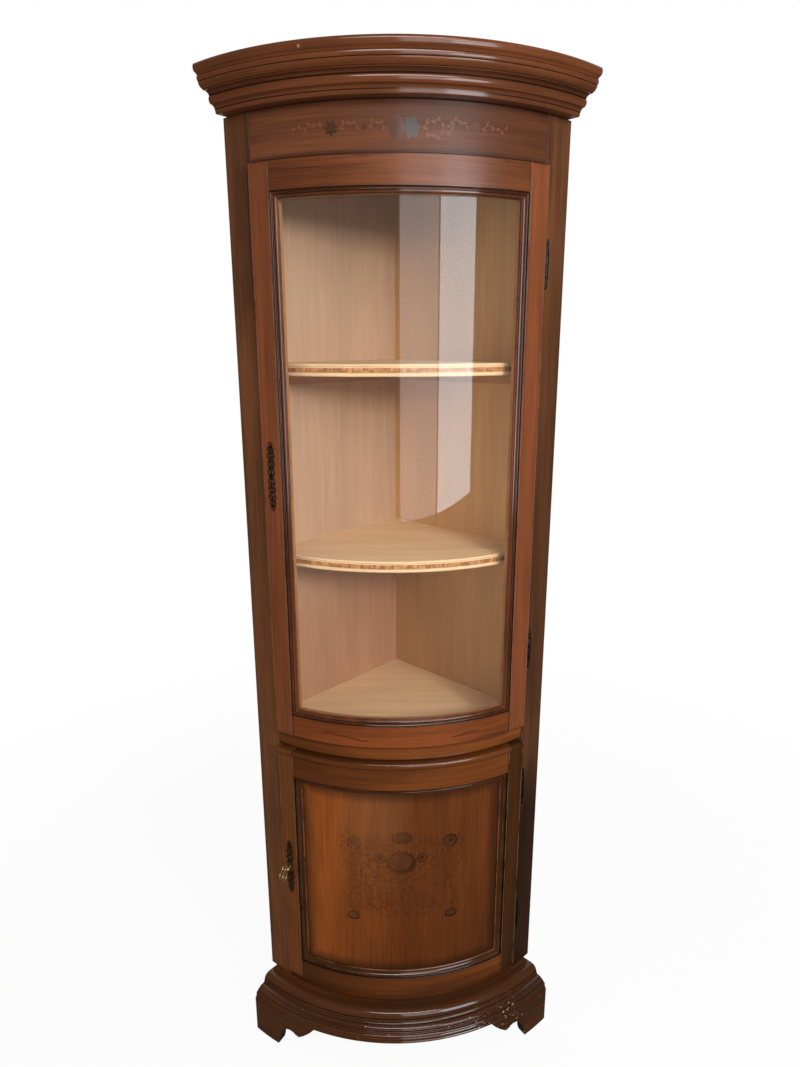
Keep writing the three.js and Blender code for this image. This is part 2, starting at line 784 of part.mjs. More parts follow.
function buildLowerDoor() {
  buildDoorFrame('lower', {
    bottom: lowerDoorBottom,
    top: lowerDoorTop,
    stile: lowerStileWidth,
    topRail: lowerTopRailHeight,
    bottomRail: lowerBottomRailHeight,
    bead: true,
    infillName: 'lower_door_panel',
    infillFront: panelFront,
    infillThickness: panelBoardThickness,
    infillMaterial: panelWood,
    mouldingWidth: panelMouldingWidth,
  }, doorWood);
  buildLock('lower');
  buildHinge('lower_door_top_hinge', lowerDoorTop - lowerHingeFromTop);
  buildHinge('lower_door_bottom_hinge', lowerDoorBottom + lowerHingeFromBottom);
}

// The key in the lower lock, with its bow upright

function buildKey() {
  const level = lockLevel('lower');
  const start = doorBack + fitGap + lockCaseDepth - pocketDepth + keyBitInset;
  const bowStart = doorFace + keyNeck;
  const shank = rod(keyRadius, [start, bowStart + keyBowSink], level, lockAngle);
  const half = keyBitThickness / 2;
  const bit = block([-half, half], [start, start + keyBitLength], [level - keyBitReach, level], lockAngle);
  const collarStart = bowStart - keyCollarWidth;
  const collar = rod(keyCollarRadius, [collarStart, bowStart], level, lockAngle);
  const outline = [];
  for (let step = 0; step < keyBowSegments; step += 1) {
    const angle = 2 * Math.PI * step / keyBowSegments;
    const lobe = 1 - keyBowWaistShare * Math.abs(Math.sin(keyBowLobes / 2 * angle));
    outline.push(new THREE.Vector2(
      keyBowLength / 2 * lobe * Math.cos(angle),
      keyBowHeight / 2 * lobe * Math.sin(angle)));
  }
  const shape = new THREE.Shape(outline);
  for (const side of [-1, 1]) {
    const hole = new THREE.Path();
    hole.absarc(0, side * keyBowHeight / 4, keyBowHoleRadius, 0, 2 * Math.PI);
    shape.holes.push(hole);
  }
  const bow = new THREE.ExtrudeGeometry(shape, {
    depth: keyBowThickness,
    bevelEnabled: false,
    curveSegments: turnedSegments / 2,
  });
  bow.translate(0, 0, -keyBowThickness / 2);
  bow.rotateX(Math.PI / 2);
  bow.rotateZ(-Math.PI / 2);
  bow.translate(0, -(bowStart + keyBowLength / 2), level);
  add('key', join(shank, bit, collar, bow.rotateZ(lockAngle)), brass);
}
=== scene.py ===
"""A bow-front corner curio cabinet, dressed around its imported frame. Metres, as the frame is."""

import json
import math

import bmesh
import bpy
from mathutils import Matrix, Vector


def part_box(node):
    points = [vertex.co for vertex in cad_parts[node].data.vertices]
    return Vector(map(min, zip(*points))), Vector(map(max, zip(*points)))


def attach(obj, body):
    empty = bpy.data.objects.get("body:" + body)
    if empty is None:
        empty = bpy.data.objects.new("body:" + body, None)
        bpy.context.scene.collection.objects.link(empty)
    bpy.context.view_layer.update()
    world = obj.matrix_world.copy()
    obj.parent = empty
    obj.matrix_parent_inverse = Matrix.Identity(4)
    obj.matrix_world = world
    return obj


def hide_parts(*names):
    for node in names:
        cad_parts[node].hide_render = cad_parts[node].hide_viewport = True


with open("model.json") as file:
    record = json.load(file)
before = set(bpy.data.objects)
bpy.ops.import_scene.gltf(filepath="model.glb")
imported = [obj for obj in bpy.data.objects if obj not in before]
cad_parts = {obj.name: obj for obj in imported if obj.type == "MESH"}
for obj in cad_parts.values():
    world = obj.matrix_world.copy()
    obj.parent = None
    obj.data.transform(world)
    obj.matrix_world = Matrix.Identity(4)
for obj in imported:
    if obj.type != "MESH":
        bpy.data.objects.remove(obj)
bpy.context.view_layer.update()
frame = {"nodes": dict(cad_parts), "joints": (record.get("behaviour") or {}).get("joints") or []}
nodes = frame["nodes"]

MM = 0.001

# The front of the posts and rails is an arc about this upright axis
BOW_RADIUS = 0.445
CENTRE_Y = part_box("frieze_rail")[0].y + BOW_RADIUS
DIAGONAL = math.sqrt(2)

# How finely curves are cut
BOW_STEPS = 96
STILE_STEPS = 12
NOSE_STEPS = 12
TURN_STEPS = 32
FOOT_TURN_STEPS = 5
ARC_POINTS = 6
HINGE_ARC_POINTS = 4

# How far edges are eased, what counts as an edge, and what is merged
EASE = 0.9 * MM
FOOT_EASE = 0.8 * MM
REAR_FOOT_EASE = 0.6 * MM
BEAD_EASE = 0.4 * MM
GLASS_EASE = 0.3 * MM
EASE_STEPS = 3
SHARP_ANGLE = math.radians(38)
FLAT_ANGLE = math.radians(0.5)
WELD = 0.002 * MM
NODE_WELD = 0.01 * MM

# The turn of an outline that counts as a full crest or hollow
FULL_BEND = 0.8

# Distances to a board's edges are kept as this less the distance, so that no value means far away
FAR = 2.0

# Profiles in millimetres: out, up, and how round the way there is (+ swells, - hollows, 0 straight)
CORNICE_PROFILE = [
    (0, 0, 0), (17.6, 0.6, 0), (20.6, 3.0, 0.25), (21.2, 6.6, 0.05), (22.6, 9.2, 0), (29.6, 13.6, -0.16),
    (31.1, 25.4, 0.18), (42.0, 31.0, -0.2), (42.6, 32.2, 0), (50.9, 41.2, 0.12), (50.3, 41.7, 0),
    (50.9, 42.6, 0), (51.6, 42.8, 0), (52.4, 49.4, 0.12), (51.2, 50.0, 0), (52.2, 50.9, 0),
    (56.3, 54.5, -0.1), (58.8, 60.6, 0.12), (58.2, 64.8, 0.1), (55.2, 67.6, 0.12), (0, 68, 0),
]
BASE_PROFILE = [
    (0, 0, 0), (61.6, 0, 0), (62.6, 1.2, 0.2), (59.4, 8.0, -0.15), (58.0, 9.4, 0), (57.2, 15.0, 0.3),
    (55.2, 15.8, 0), (54.6, 17.4, 0.35), (53.4, 17.8, 0), (52.4, 19.4, 0.35), (50.8, 19.8, 0),
    (49.0, 21.4, 0.3), (40.6, 24.4, 0.15), (36.2, 30.6, -0.2), (35.2, 31.2, 0), (18.0, 45.8, 0.23),
    (0, 46, 0),
]
# Door mouldings: in from the frame and out from the pane or panel, as shares of the room they have
GLAZING_PROFILE = [
    (0, 0, 0), (0, 0.74, 0), (0.07, 0.78, 0), (0.1, 0.86, 0), (0.36, 0.86, 0.28), (0.4, 0.66, 0),
    (0.5, 0.64, 0), (0.86, 0.4, -0.16), (0.88, 0.46, 0), (0.97, 0.42, 0.2), (1, 0.3, 0), (1, 0, 0),
]
PANEL_PROFILE = [
    (0, 0, 0), (0, 0.6, 0), (0.13, 0.62, 0), (0.15, 0.82, 0), (0.31, 0.82, 0.3), (0.35, 0.66, 0),
    (0.41, 0.66, 0), (0.88, 0.3, 0.14), (0.96, 0.26, 0), (1, 0.2, 0), (1, 0, 0),
]
MOULDING_WIDTHS = {"upper_door_moulding": 11 * MM, "lower_door_moulding": 13 * MM}
# A shelf's front edge, out from its foremost line and up: a bead, a flat for the cross band, a bead
SHELF_EDGE = [
    (-8, 0, 0), (-2.0, 0, 0), (-1.8, 5.2, 0.3), (-2.4, 5.8, 0), (-1.6, 6.6, 0), (-1.6, 15.4, 0),
    (-2.4, 16.2, 0), (-1.8, 16.8, 0), (-2.0, 22, 0.3), (-8, 22, 0),
]
BAND_LOW = 6.9 * MM
BAND_HIGH = 15.1 * MM
BAND_SINK = 1.3 * MM
BAND_DEPTH = 1.2 * MM
# The band's ends stay this angle short of the walls
BAND_END_ROOM = 0.004
# A bracket foot's cut edge from its tip to its inner end, along the bow and up
FOOT_CUT = [
    (292.5, 0, 0), (286.5, 24, -0.05), (278, 43, 0.06), (248, 53, 0.22), (240, 48.5, -0.1), (233, 49, -0.2),
    (198, 83.4, -0.04),
]

# The bead along the lower door's top, the groove under it, and the joint that shows in it, whose dark seam, a
# thin line of painted shade, is measured from this far above the bead
TOP_BEAD_HEIGHT = 13 * MM
TOP_BEAD_QUIRK = 1.6 * MM
BEAD_SEAM = 1.5 * MM

# Room round a bolt in the holes it slides through, and how much deeper they are than it goes
BOLT_ROOM = 0.4 * MM
BOLT_OVERRUN = 1.0 * MM

# The row of squares let into the display floor
FLOOR_SQUARES = 84
FLOOR_SQUARES_END = math.radians(27)
FLOOR_SQUARES_INSET = 6 * MM
FLOOR_SQUARE = (2.4 * MM, 1.4 * MM, 0.4 * MM)

INLAY_THICKNESS = 0.4 * MM
# Crossing slips of veneer lie this much above each other, in millimetres
HAIR = 0.0006


def on_bow(radius, angle, height):
    return Vector((radius * math.sin(angle), CENTRE_Y - radius * math.cos(angle), height))


def bow_radius_of(point):
    return math.hypot(point.x, CENTRE_Y - point.y)


class Span:
    """Where a frame node lies round the bow: radii, angles, heights and the wall plane that ends it."""

    def __init__(self, node):
        points = [vertex.co for vertex in nodes[node].data.vertices]
        radii = [bow_radius_of(p) for p in points]
        angles = [math.atan2(p.x, CENTRE_Y - p.y) for p in points]
        self.inner, self.outer = min(radii), max(radii)
        self.left, self.right = min(angles), max(angles)
        self.bottom, self.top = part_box(node)[0].z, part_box(node)[1].z
        self.wall_depth = max(abs(p.x) + p.y for p in points) - (CENTRE_Y - BOW_RADIUS)
        self.middle = (self.bottom + self.top) / 2
        self.centre = (self.left + self.right) / 2


def wall_angle(radius, depth):
    """The angle at which a circle about the bow's axis meets a wall plane."""
    return math.pi / 4 + math.asin((depth - BOW_RADIUS) / (radius * DIAGONAL))


def rounded(profile, steps=ARC_POINTS):
    """Profile points with arcs put in where the way between two of them is round."""
    points = [Vector(profile[0][:2])]
    for x, y, swell in profile[1:]:
        start, end = points[-1], Vector((x, y))
        chord = end - start
        side = Vector((chord.y, -chord.x))
        for step in range(1, steps + 1) if swell else ():
            share = step / (steps + 1)
            rise = 4 * share * (1 - share)
            points.append(start + chord * share + side * swell * rise)
        points.append(end)
    return points


def crests(points):
    """How far each point of a closed outline stands out (+) or lies in a hollow (-), about -1 to 1."""
    area = sum(a.x * b.y - b.x * a.y for a, b in zip(points, points[1:] + points[:1]))
    way = 1 if area > 0 else -1
    values = []
    for index, point in enumerate(points):
        before = point - points[index - 1]
        after = points[(index + 1) % len(points)] - point
        bend = math.atan2(before.x * after.y - before.y * after.x, before.dot(after)) * way
        values.append(max(-1.0, min(1.0, bend / FULL_BEND)))
    return values


# Meshes and pieces


def piece_from(name, vertices, faces, body, material, slot, *replaced, ease=0.0, edges=None, holes=()):
    """A finished piece: smooth, its holes cut and its edges eased where asked, riding on its body."""
    mesh = bpy.data.meshes.new(name)
    mesh.from_pydata([tuple(v) for v in vertices], [], faces)
    mesh.validate()
    if edges is not None:
        layer = mesh.attributes.new("edges", "FLOAT_COLOR", "POINT")
        layer.data.foreach_set("color", [value for four in edges for value in four])
    face_outwards(mesh)
    if holes:
        mesh = pierced(mesh, holes)
    return dress(name, mesh, body, material, slot, *replaced, ease=ease)


def face_outwards(mesh):
    work = bmesh.new()
    work.from_mesh(mesh)
    bmesh.ops.recalc_face_normals(work, faces=work.faces)
    work.to_mesh(mesh)
    work.free()


def settled(thing):
    """A plain mesh of what an object's modifiers make of it. The modifiers go."""
    graph = bpy.context.evaluated_depsgraph_get()
    mesh = bpy.data.meshes.new_from_object(
        thing.evaluated_get(graph), preserve_all_data_layers=True, depsgraph=graph)
    thing.modifiers.clear()
    return mesh


def shown(name, data):
    """A new object in the scene."""
    thing = bpy.data.objects.new(name, data)
    bpy.context.scene.collection.objects.link(thing)
    return thing


def pierced(mesh, holes):
    """The mesh without the room that the holes' closed shapes take up."""
    base = shown("pierced", mesh)
    things = [base]
    for hole in holes:
        cut = base.modifiers.new("cut", "BOOLEAN")
        cut.operation = "DIFFERENCE"
        cut.solver = "EXACT"
        cut.object = shown("hole", hole)
        things.append(cut.object)
    whole = settled(base)
    for thing in things:
        bpy.data.objects.remove(thing)
    return whole


def bolt_way(door):
    """A closed block that holds a lock's bolt through its whole slide, with a little room round it."""
    joint = next(joint for joint in frame["joints"] if joint["child"] == f"{door}_bolt")
    ahead = Vector(joint["axis"]).normalized()
    aside = Vector((-ahead.y, ahead.x, 0))
    points = [vertex.co for vertex in nodes[f"{door}_lock_bolt"].data.vertices]
    limits = []
    for way, further in (
            (ahead, joint["range_m"][1] + BOLT_OVERRUN), (aside, BOLT_ROOM), (Vector((0, 0, 1)), BOLT_ROOM)):
        reach = [point.dot(way) for point in points]
        limits.append((min(reach) - BOLT_ROOM, max(reach) + further))
    along, across, up = limits
    corners = [ahead * a + aside * b + Vector((0, 0, c)) for a in along for b in across for c in up]
    mesh = bpy.data.meshes.new("bolt way")
    mesh.from_pydata([tuple(corner) for corner in corners], [], [
        (0, 1, 3, 2), (4, 6, 7, 5), (0, 4, 5, 1), (2, 3, 7, 6), (0, 2, 6, 4), (1, 5, 7, 3)])
    face_outwards(mesh)
    return mesh


def dress(name, mesh, body, material, slot, *replaced, ease=0.0):
    mesh.name = name
    mesh.materials.clear()
    mesh.materials.append(material)
    mesh.shade_smooth()
    mesh.set_sharp_from_angle(angle=SHARP_ANGLE)
    piece = shown(name, mesh)
    if ease:
        bevel = piece.modifiers.new("eased edges", "BEVEL")
        bevel.width = ease
        bevel.segments = EASE_STEPS
        bevel.limit_method = "ANGLE"
        bevel.angle_limit = SHARP_ANGLE
        piece.modifiers.new("even shading", "WEIGHTED_NORMAL")
    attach(piece, body)
    if replaced:
        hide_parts(*replaced)
    return piece


def ring_faces(count, rings):
    """The faces between rings of points, each ring with the same count."""
    faces = []
    for near in range(0, (rings - 1) * count, count):
        for index in range(count):
            after = (index + 1) % count
            faces.append((near + index, near + after, near + count + after, near + count + index))
    return faces


def oblong(inner, outer, bottom, top):
    """A rectangle's corners as (radius, height) points."""
    return [(inner, bottom), (outer, bottom), (outer, top), (inner, top)]


def swept(outline, start, end, steps=BOW_STEPS):
    """An outline of (radius, height) points carried round the bow from one angle to another.

    An angle may be given as a function of the radius.
    """
    vertices = []
    for step in range(steps + 1):
        for radius, height in outline:
            low = start(radius) if callable(start) else start
            high = end(radius) if callable(end) else end
            vertices.append(on_bow(radius, low + (high - low) * step / steps, height))
    count = len(outline)
    faces = ring_faces(count, steps + 1)
    faces.append(tuple(range(count)))
    faces.append(tuple(range(steps * count, (steps + 1) * count)))
    return vertices, faces


def to_edges(vertices, left, right, bottom, top, open_edges):
    """How far each vertex is from a board's open edges, along the bow and up. Other edges are far away."""
    reach = []
    for v in vertices:
        along = math.atan2(v.x, CENTRE_Y - v.y) * BOW_RADIUS
        distances = (along - left * BOW_RADIUS, right * BOW_RADIUS - along, v.z - bottom, top - v.z)
        reach.append(tuple(
            FAR - distance if edge in open_edges else 0.0 for edge, distance in zip("lrbt", distances)))
    return reach


def bent_board(node, material, slot, body, outline=None, start=None, end=None, steps=BOW_STEPS, ease=EASE,
               open_edges="lrbt", sight=None, holes=()):
    """A board in a frame node's place, with its edges eased. Sight is what a moulding leaves open of it."""
    span = Span(node)
    if outline is None:
        outline = oblong(span.inner, span.outer, span.bottom, span.top)
    start = span.left if start is None else start
    end = span.right if end is None else end
    vertices, faces = swept(outline, start, end, steps)
    edges = to_edges(vertices, *(sight or (span.left, span.right, span.bottom, span.top)), open_edges)
    return piece_from(
        f"{node}_wood", vertices, faces, body, material, slot, node, ease=ease, edges=edges, holes=holes)


def corner_board(node, rim, material, slot):
    """A board that fills the corner, its front edge an arc with the given (radius, height) rim."""
    span = Span(node)
    vertices = []
    for radius, height in rim:
        half = wall_angle(radius, span.wall_depth)
        for step in range(BOW_STEPS + 1):
            vertices.append(on_bow(radius, half * (2 * step / BOW_STEPS - 1), height))
    apex_y = CENTRE_Y - BOW_RADIUS + span.wall_depth
    low = len(vertices)
    vertices += [Vector((0, apex_y, span.bottom)), Vector((0, apex_y, span.top))]
    count = BOW_STEPS + 1
    starts = [ring * count for ring in range(len(rim))]
    faces = []
    for near in starts[:-1]:
        for step in range(near, near + BOW_STEPS):
            faces.append((step, step + 1, step + count + 1, step + count))
    for step in range(BOW_STEPS):
        faces.append((low, step + 1, step))
        faces.append((low + 1, starts[-1] + step, starts[-1] + step + 1))
    faces.append((low, *starts, low + 1))
    faces.append((low + 1, *[start + BOW_STEPS for start in reversed(starts)], low))
    return piece_from(f"{node}_board", vertices, faces, "cabinet", material, slot, node)


def turned(profile, x, y):
    """A turned solid about an upright axis, from (radius, height) points that start and end on the axis."""
    vertices = [Vector((x, y, profile[0][1])), Vector((x, y, profile[-1][1]))]
    inner = profile[1:-1]
    for radius, height in inner:
        for step in range(TURN_STEPS):
            angle = 2 * math.pi * step / TURN_STEPS
            vertices.append(Vector((x + radius * math.cos(angle), y + radius * math.sin(angle), height)))
    top = 2 + (len(inner) - 1) * TURN_STEPS
    faces = [tuple(2 + corner for corner in face) for face in ring_faces(TURN_STEPS, len(inner))]
    for step in range(TURN_STEPS):
        after = (step + 1) % TURN_STEPS
        faces.append((0, 2 + after, 2 + step))
        faces.append((1, top + step, top + after))
    return vertices, faces


def eased_copy(node, material, slot, ease=EASE):
    """A merged copy of a frame node with its edges eased, which stands in for it."""
    mesh = nodes[node].data.copy()
    work = bmesh.new()
    work.from_mesh(mesh)
    bmesh.ops.remove_doubles(work, verts=work.verts, dist=NODE_WELD)
    bmesh.ops.dissolve_limit(work, angle_limit=FLAT_ANGLE, verts=work.verts, edges=work.edges)
    work.to_mesh(mesh)
    work.free()
    return dress(f"{node}_eased", mesh, "cabinet", material, slot, node, ease=ease)


# Node graphs for shapes and finishes


class Wire:
    """A node's output. Sums with it add maths nodes to its graph."""

    def __init__(self, graph, socket):
        self.graph = graph
        self.socket = socket

    def to(self, operation, *others, clamp=False):
        return self.graph.math(operation, self, *others, clamp=clamp)

    def parts(self):
        """A vector's X, Y and Z."""
        node = self.graph.add("ShaderNodeSeparateXYZ", {0: self})
        return node[0], node[1], node[2]

    def vector(self, operation, other):
        return self.graph.add("ShaderNodeVectorMath", {0: self, 1: other}, operation=operation)[0]

    def scale(self, factor):
        return self.graph.add("ShaderNodeVectorMath", {0: self, "Scale": factor}, operation="SCALE")[0]

    def span(self, low, high, start=0.0, end=1.0):
        """A value that goes smoothly from start to end as this one goes from low to high."""
        ramp = {0: self, 1: low, 2: high, 3: start, 4: end}
        return self.graph.add("ShaderNodeMapRange", ramp, interpolation_type="SMOOTHSTEP")[0]

    def noise(self, scale, detail=2.0, roughness=0.5, distortion=0.0):
        """Cloudy noise at this place, finer for a larger scale. A scale for each axis stretches it."""
        place = self
        if isinstance(scale, tuple):
            place = self.vector("MULTIPLY", scale)
            scale = 1.0
        return self.graph.add("ShaderNodeTexNoise", {
            "Vector": place, "Scale": scale, "Detail": detail, "Roughness": roughness,
            "Distortion": distortion})["Fac"]


def sum_method(operation, other_first):
    def method(self, other):
        pair = (other, self) if other_first else (self, other)
        return self.graph.math(operation, *pair)
    return method


for sign, operation in {"add": "ADD", "sub": "SUBTRACT", "mul": "MULTIPLY", "truediv": "DIVIDE"}.items():
    setattr(Wire, f"__{sign}__", sum_method(operation, False))
    setattr(Wire, f"__r{sign}__", sum_method(operation, True))


class Outputs:
    """A node's outputs, by name or place, as wires."""

    def __init__(self, graph, node):
        self.graph = graph
        self.node = node

    def __getitem__(self, key):
        return Wire(self.graph, self.node.outputs[key])


class Graph:
    """Adds nodes to one tree. An input is a plain value, a wire or a list of wires."""

    def __init__(self, tree):
        self.tree = tree

    def add(self, kind, inputs=None, **settings):
        node = self.tree.nodes.new(kind)
        for name, value in settings.items():
            setattr(node, name, value)
        for name, value in (inputs or {}).items():
            self.feed(node.inputs[name], value)
        return Outputs(self, node)

    def feed(self, socket, value):
        if isinstance(value, (Wire, list)):
            for wire in value if isinstance(value, list) else [value]:
                self.tree.links.new(wire.socket, socket)
        else:
            socket.default_value = value

    def use(self, group, inputs=None):
        return self.add(self.tree.bl_idname.replace("Tree", "Group"), inputs, node_tree=group)

    def math(self, operation, *values, clamp=False):
        return self.add("ShaderNodeMath", dict(enumerate(values)), operation=operation, use_clamp=clamp)[0]

    def mix(self, factor, first, second, blend="MIX"):
        colours = {0: factor, 6: first, 7: second}
        return self.add("ShaderNodeMix", colours, data_type="RGBA", blend_type=blend)[2]

    def xyz(self, x=0.0, y=0.0, z=0.0):
        return self.add("ShaderNodeCombineXYZ", {"X": x, "Y": y, "Z": z})[0]

    def object_place(self):
        return self.add("ShaderNodeTexCoord")["Object"]


def socket_kind(value):
    """The kind of group socket for a value or a wire. None stands for a material."""
    if isinstance(value, Wire):
        return {"VALUE": "NodeSocketFloat", "VECTOR": "NodeSocketVector", "RGBA": "NodeSocketColor",
                "GEOMETRY": "NodeSocketGeometry"}[value.socket.type]
    if isinstance(value, tuple):
        return "NodeSocketColor" if len(value) == 4 else "NodeSocketVector"
    if isinstance(value, int):
        return "NodeSocketInt"
    return "NodeSocketFloat" if value is not None else "NodeSocketMaterial"


def new_group(kind, name, build, inputs):
    """A node group with named inputs. What the build function returns are its outputs."""
    tree = bpy.data.node_groups.new(name, kind)
    if kind == "GeometryNodeTree":
        tree.interface.new_socket("Geometry", in_out="INPUT", socket_type="NodeSocketGeometry")
    for label, value in inputs.items():
        socket = tree.interface.new_socket(label, in_out="INPUT", socket_type=socket_kind(value))
        if value is not None:
            socket.default_value = value
    graph = Graph(tree)
    outputs = build(graph, graph.add("NodeGroupInput"))
    for label, wire in outputs.items():
        tree.interface.new_socket(label, in_out="OUTPUT", socket_type=socket_kind(wire))
    graph.add("NodeGroupOutput", outputs)
    return tree


# Shapes grown by geometry nodes


def shape_tree(name, build, inputs):
    """A tree that ends as real geometry with its material."""
    def whole(graph, given):
        real = graph.add("GeometryNodeRealizeInstances", {"Geometry": build(graph, given)})[0]
        dressed = graph.add("GeometryNodeSetMaterial", {"Geometry": real, "Material": given["Material"]})[0]
        return {"Geometry": dressed}
    return new_group("GeometryNodeTree", name, whole, {**inputs, "Material": None})


def grown(name, tree, sizes, start=None, voxel=0.0):
    """The plain mesh that a tree makes with the given sizes, fused where a voxel size is given."""
    base = shown(name, start or bpy.data.meshes.new(name))
    growing = base.modifiers.new(name, "NODES")
    growing.node_group = tree
    for socket in tree.interface.items_tree:
        if socket.in_out == "INPUT" and socket.name in sizes:
            growing[socket.identifier] = sizes[socket.name]
    if voxel:
        fused = base.modifiers.new("fused", "REMESH")
        fused.mode = "VOXEL"
        fused.voxel_size = voxel
        softer = base.modifiers.new("softened", "SMOOTH")
        softer.factor = 0.5
        softer.iterations = 3
    mesh = settled(base)
    bpy.data.objects.remove(base)
    return mesh


def wire_mesh(name, lines, closed=False, **values):
    """Edges through each line's points, with values kept at the points under their names."""
    edges = []
    first = 0
    for line in lines:
        after = first + len(line)
        edges += [(index, index + 1) for index in range(first, after - 1)]
        if closed:
            edges.append((after - 1, first))
        first = after
    mesh = bpy.data.meshes.new(name)
    mesh.from_pydata([tuple(point) for line in lines for point in line], edges, [])
    for label, given in values.items():
        mesh.attributes.new(label, "FLOAT", "POINT").data.foreach_set("value", given)
    return mesh


def joined_piece(name, meshes, body, material, slot):
    """Several meshes as one piece."""
    work = bmesh.new()
    for mesh in meshes:
        work.from_mesh(mesh)
    whole = bpy.data.meshes.new(name)
    work.to_mesh(whole)
    work.free()
    face_outwards(whole)
    return dress(name, whole, body, material, slot)


def stored(graph, geometry, label, value, kind="FLOAT"):
    return graph.add("GeometryNodeStoreNamedAttribute", {
        "Geometry": geometry, "Name": label, "Value": value}, data_type=kind, domain="POINT")[0]


def named(graph, label, kind="FLOAT"):
    return graph.add("GeometryNodeInputNamedAttribute", {"Name": label}, data_type=kind)["Attribute"]


def where(graph):
    return graph.add("GeometryNodeInputPosition")[0]


def placed(graph, geometry, position):
    return graph.add("GeometryNodeSetPosition", {"Geometry": geometry, "Position": position})[0]


def bow_point(graph, given, angle, radius, height):
    x = radius * angle.to("SINE")
    y = given["Bow centre"] - radius * angle.to("COSINE")
    return graph.xyz(x, y, height)


def curve_from(graph, given):
    return graph.add("GeometryNodeMeshToCurve", {"Mesh": given["Geometry"]})[0]


def profile_curve(graph, given):
    return stored(graph, curve_from(graph, given), "profile", where(graph), "FLOAT_VECTOR")


def grid(graph, along, across):
    """A unit sheet, and for each of its points the share of the way along and the place across."""
    sheet = graph.add("GeometryNodeMeshGrid", {
        "Size X": 1.0, "Size Y": 1.0, "Vertices X": along, "Vertices Y": across})[0]
    x, y, _ = where(graph).parts()
    return sheet, x + 0.5, y


def merged(graph, geometry):
    return graph.add("GeometryNodeMergeByDistance", {"Geometry": geometry, "Distance": WELD})[0]


def planted(graph, points, shape, turn):
    """The shape at each point, turned about an upright line."""
    spin = graph.add("FunctionNodeEulerToRotation", {"Euler": graph.xyz(z=turn)})[0]
    many = graph.add("GeometryNodeInstanceOnPoints", {
        "Points": points, "Instance": shape, "Rotation": spin})[0]
    return graph.add("GeometryNodeRealizeInstances", {"Geometry": many})[0]


def bend(graph, given):
    """Flat geometry (along, up, out) laid on the bow at a face radius, from a given angle and level."""
    along, up, out = where(graph).parts()
    angle = along / given["Face radius"] + given["Angle"]
    point = bow_point(graph, given, angle, given["Face radius"] + out, given["Level"] + up)
    return {"Geometry": placed(graph, given["Geometry"], point)}


def slab(graph, given):
    """A closed slab from a flat sheet, upwards by its thickness."""
    sheet = merged(graph, given["Geometry"])
    raised = graph.add("GeometryNodeExtrudeMesh", {
        "Mesh": sheet, "Offset": (0, 0, 1), "Offset Scale": given["Thickness"], "Individual": False})[0]
    under = graph.add("GeometryNodeFlipFaces", {"Mesh": sheet})[0]
    both = graph.add("GeometryNodeJoinGeometry", {0: [raised, under]})[0]
    return {"Geometry": merged(graph, both)}


def moulding_run(graph, given):
    """A profile (radius, height) carried round the bow from one wall plane to the other."""
    path = graph.add("GeometryNodeCurvePrimitiveLine", {"Start": (-1, 0, 0), "End": (1, 0, 0)})[0]
    path = graph.add("GeometryNodeResampleCurve", {"Curve": path, "Count": given["Steps"] + 1})[0]
    path = stored(graph, path, "share", where(graph).parts()[0])
    run = graph.add("GeometryNodeCurveToMesh", {
        "Curve": path, "Profile Curve": profile_curve(graph, given), "Fill Caps": True})[0]
    radius, height, _ = named(graph, "profile", "FLOAT_VECTOR").parts()
    sine = (given["Wall depth"] - given["Bow radius"]) / (radius * DIAGONAL)
    angle = named(graph, "share") * (math.pi / 4 + sine.to("ARCSINE"))
    return placed(graph, run, bow_point(graph, given, angle, radius, height))


def moulding_frame(graph, given):
    """A profile (inset, radius) carried round a door's opening, mitred at its corners."""
    path = graph.add("GeometryNodeCurvePrimitiveQuadrilateral", {"Width": 2.0, "Height": 2.0})[0]
    path = graph.add("GeometryNodeSubdivideCurve", {"Curve": path, "Cuts": given["Cuts"]})[0]
    path = stored(graph, path, "corner", where(graph), "FLOAT_VECTOR")
    run = graph.add("GeometryNodeCurveToMesh", {
        "Curve": path, "Profile Curve": profile_curve(graph, given)})[0]
    inset, radius, _ = named(graph, "profile", "FLOAT_VECTOR").parts()
    aside, up, _ = named(graph, "corner", "FLOAT_VECTOR").parts()
    angle = aside * (given["Half angle"] - inset / given["Face radius"])
    low = given["Bottom"] + inset
    height = low + (up * 0.5 + 0.5) * (given["Top"] - inset - low)
    return placed(graph, run, bow_point(graph, given, angle, radius, height))


def laid(graph, given, sheet):
    """A flat sheet made a slab whose top stands the lift proud of the bow's face."""
    slip = graph.use(slab_tree, {"Geometry": sheet, "Thickness": given["Thickness"]})[0]
    down = graph.xyz(z=given["Lift"] - given["Thickness"])
    sunk = graph.add("GeometryNodeSetPosition", {"Geometry": slip, "Offset": down})[0]
    return graph.use(bend_tree, {"Geometry": sunk, "Face radius": given["Face radius"]})[0]


def flower(graph, given):
    """A petalled, notched or plain oval slip of veneer."""
    sheet, share, around = grid(graph, 6, given["Around"])
    angle = (around + 0.5) * (2 * math.pi)
    phase = (angle - given["Turn"]) * given["Petals"]
    petal = (phase.to("COSINE") * 0.5 + 0.5).to("POWER", given["Roundness"])
    reach = share * (1.0 - given["Notch"] * (1.0 - petal)) * 0.5
    x = reach * given["Width"] * angle.to("COSINE") + given["Along"]
    y = reach * given["Height"] * angle.to("SINE") + given["Up"]
    return laid(graph, given, placed(graph, sheet, graph.xyz(x, y)))


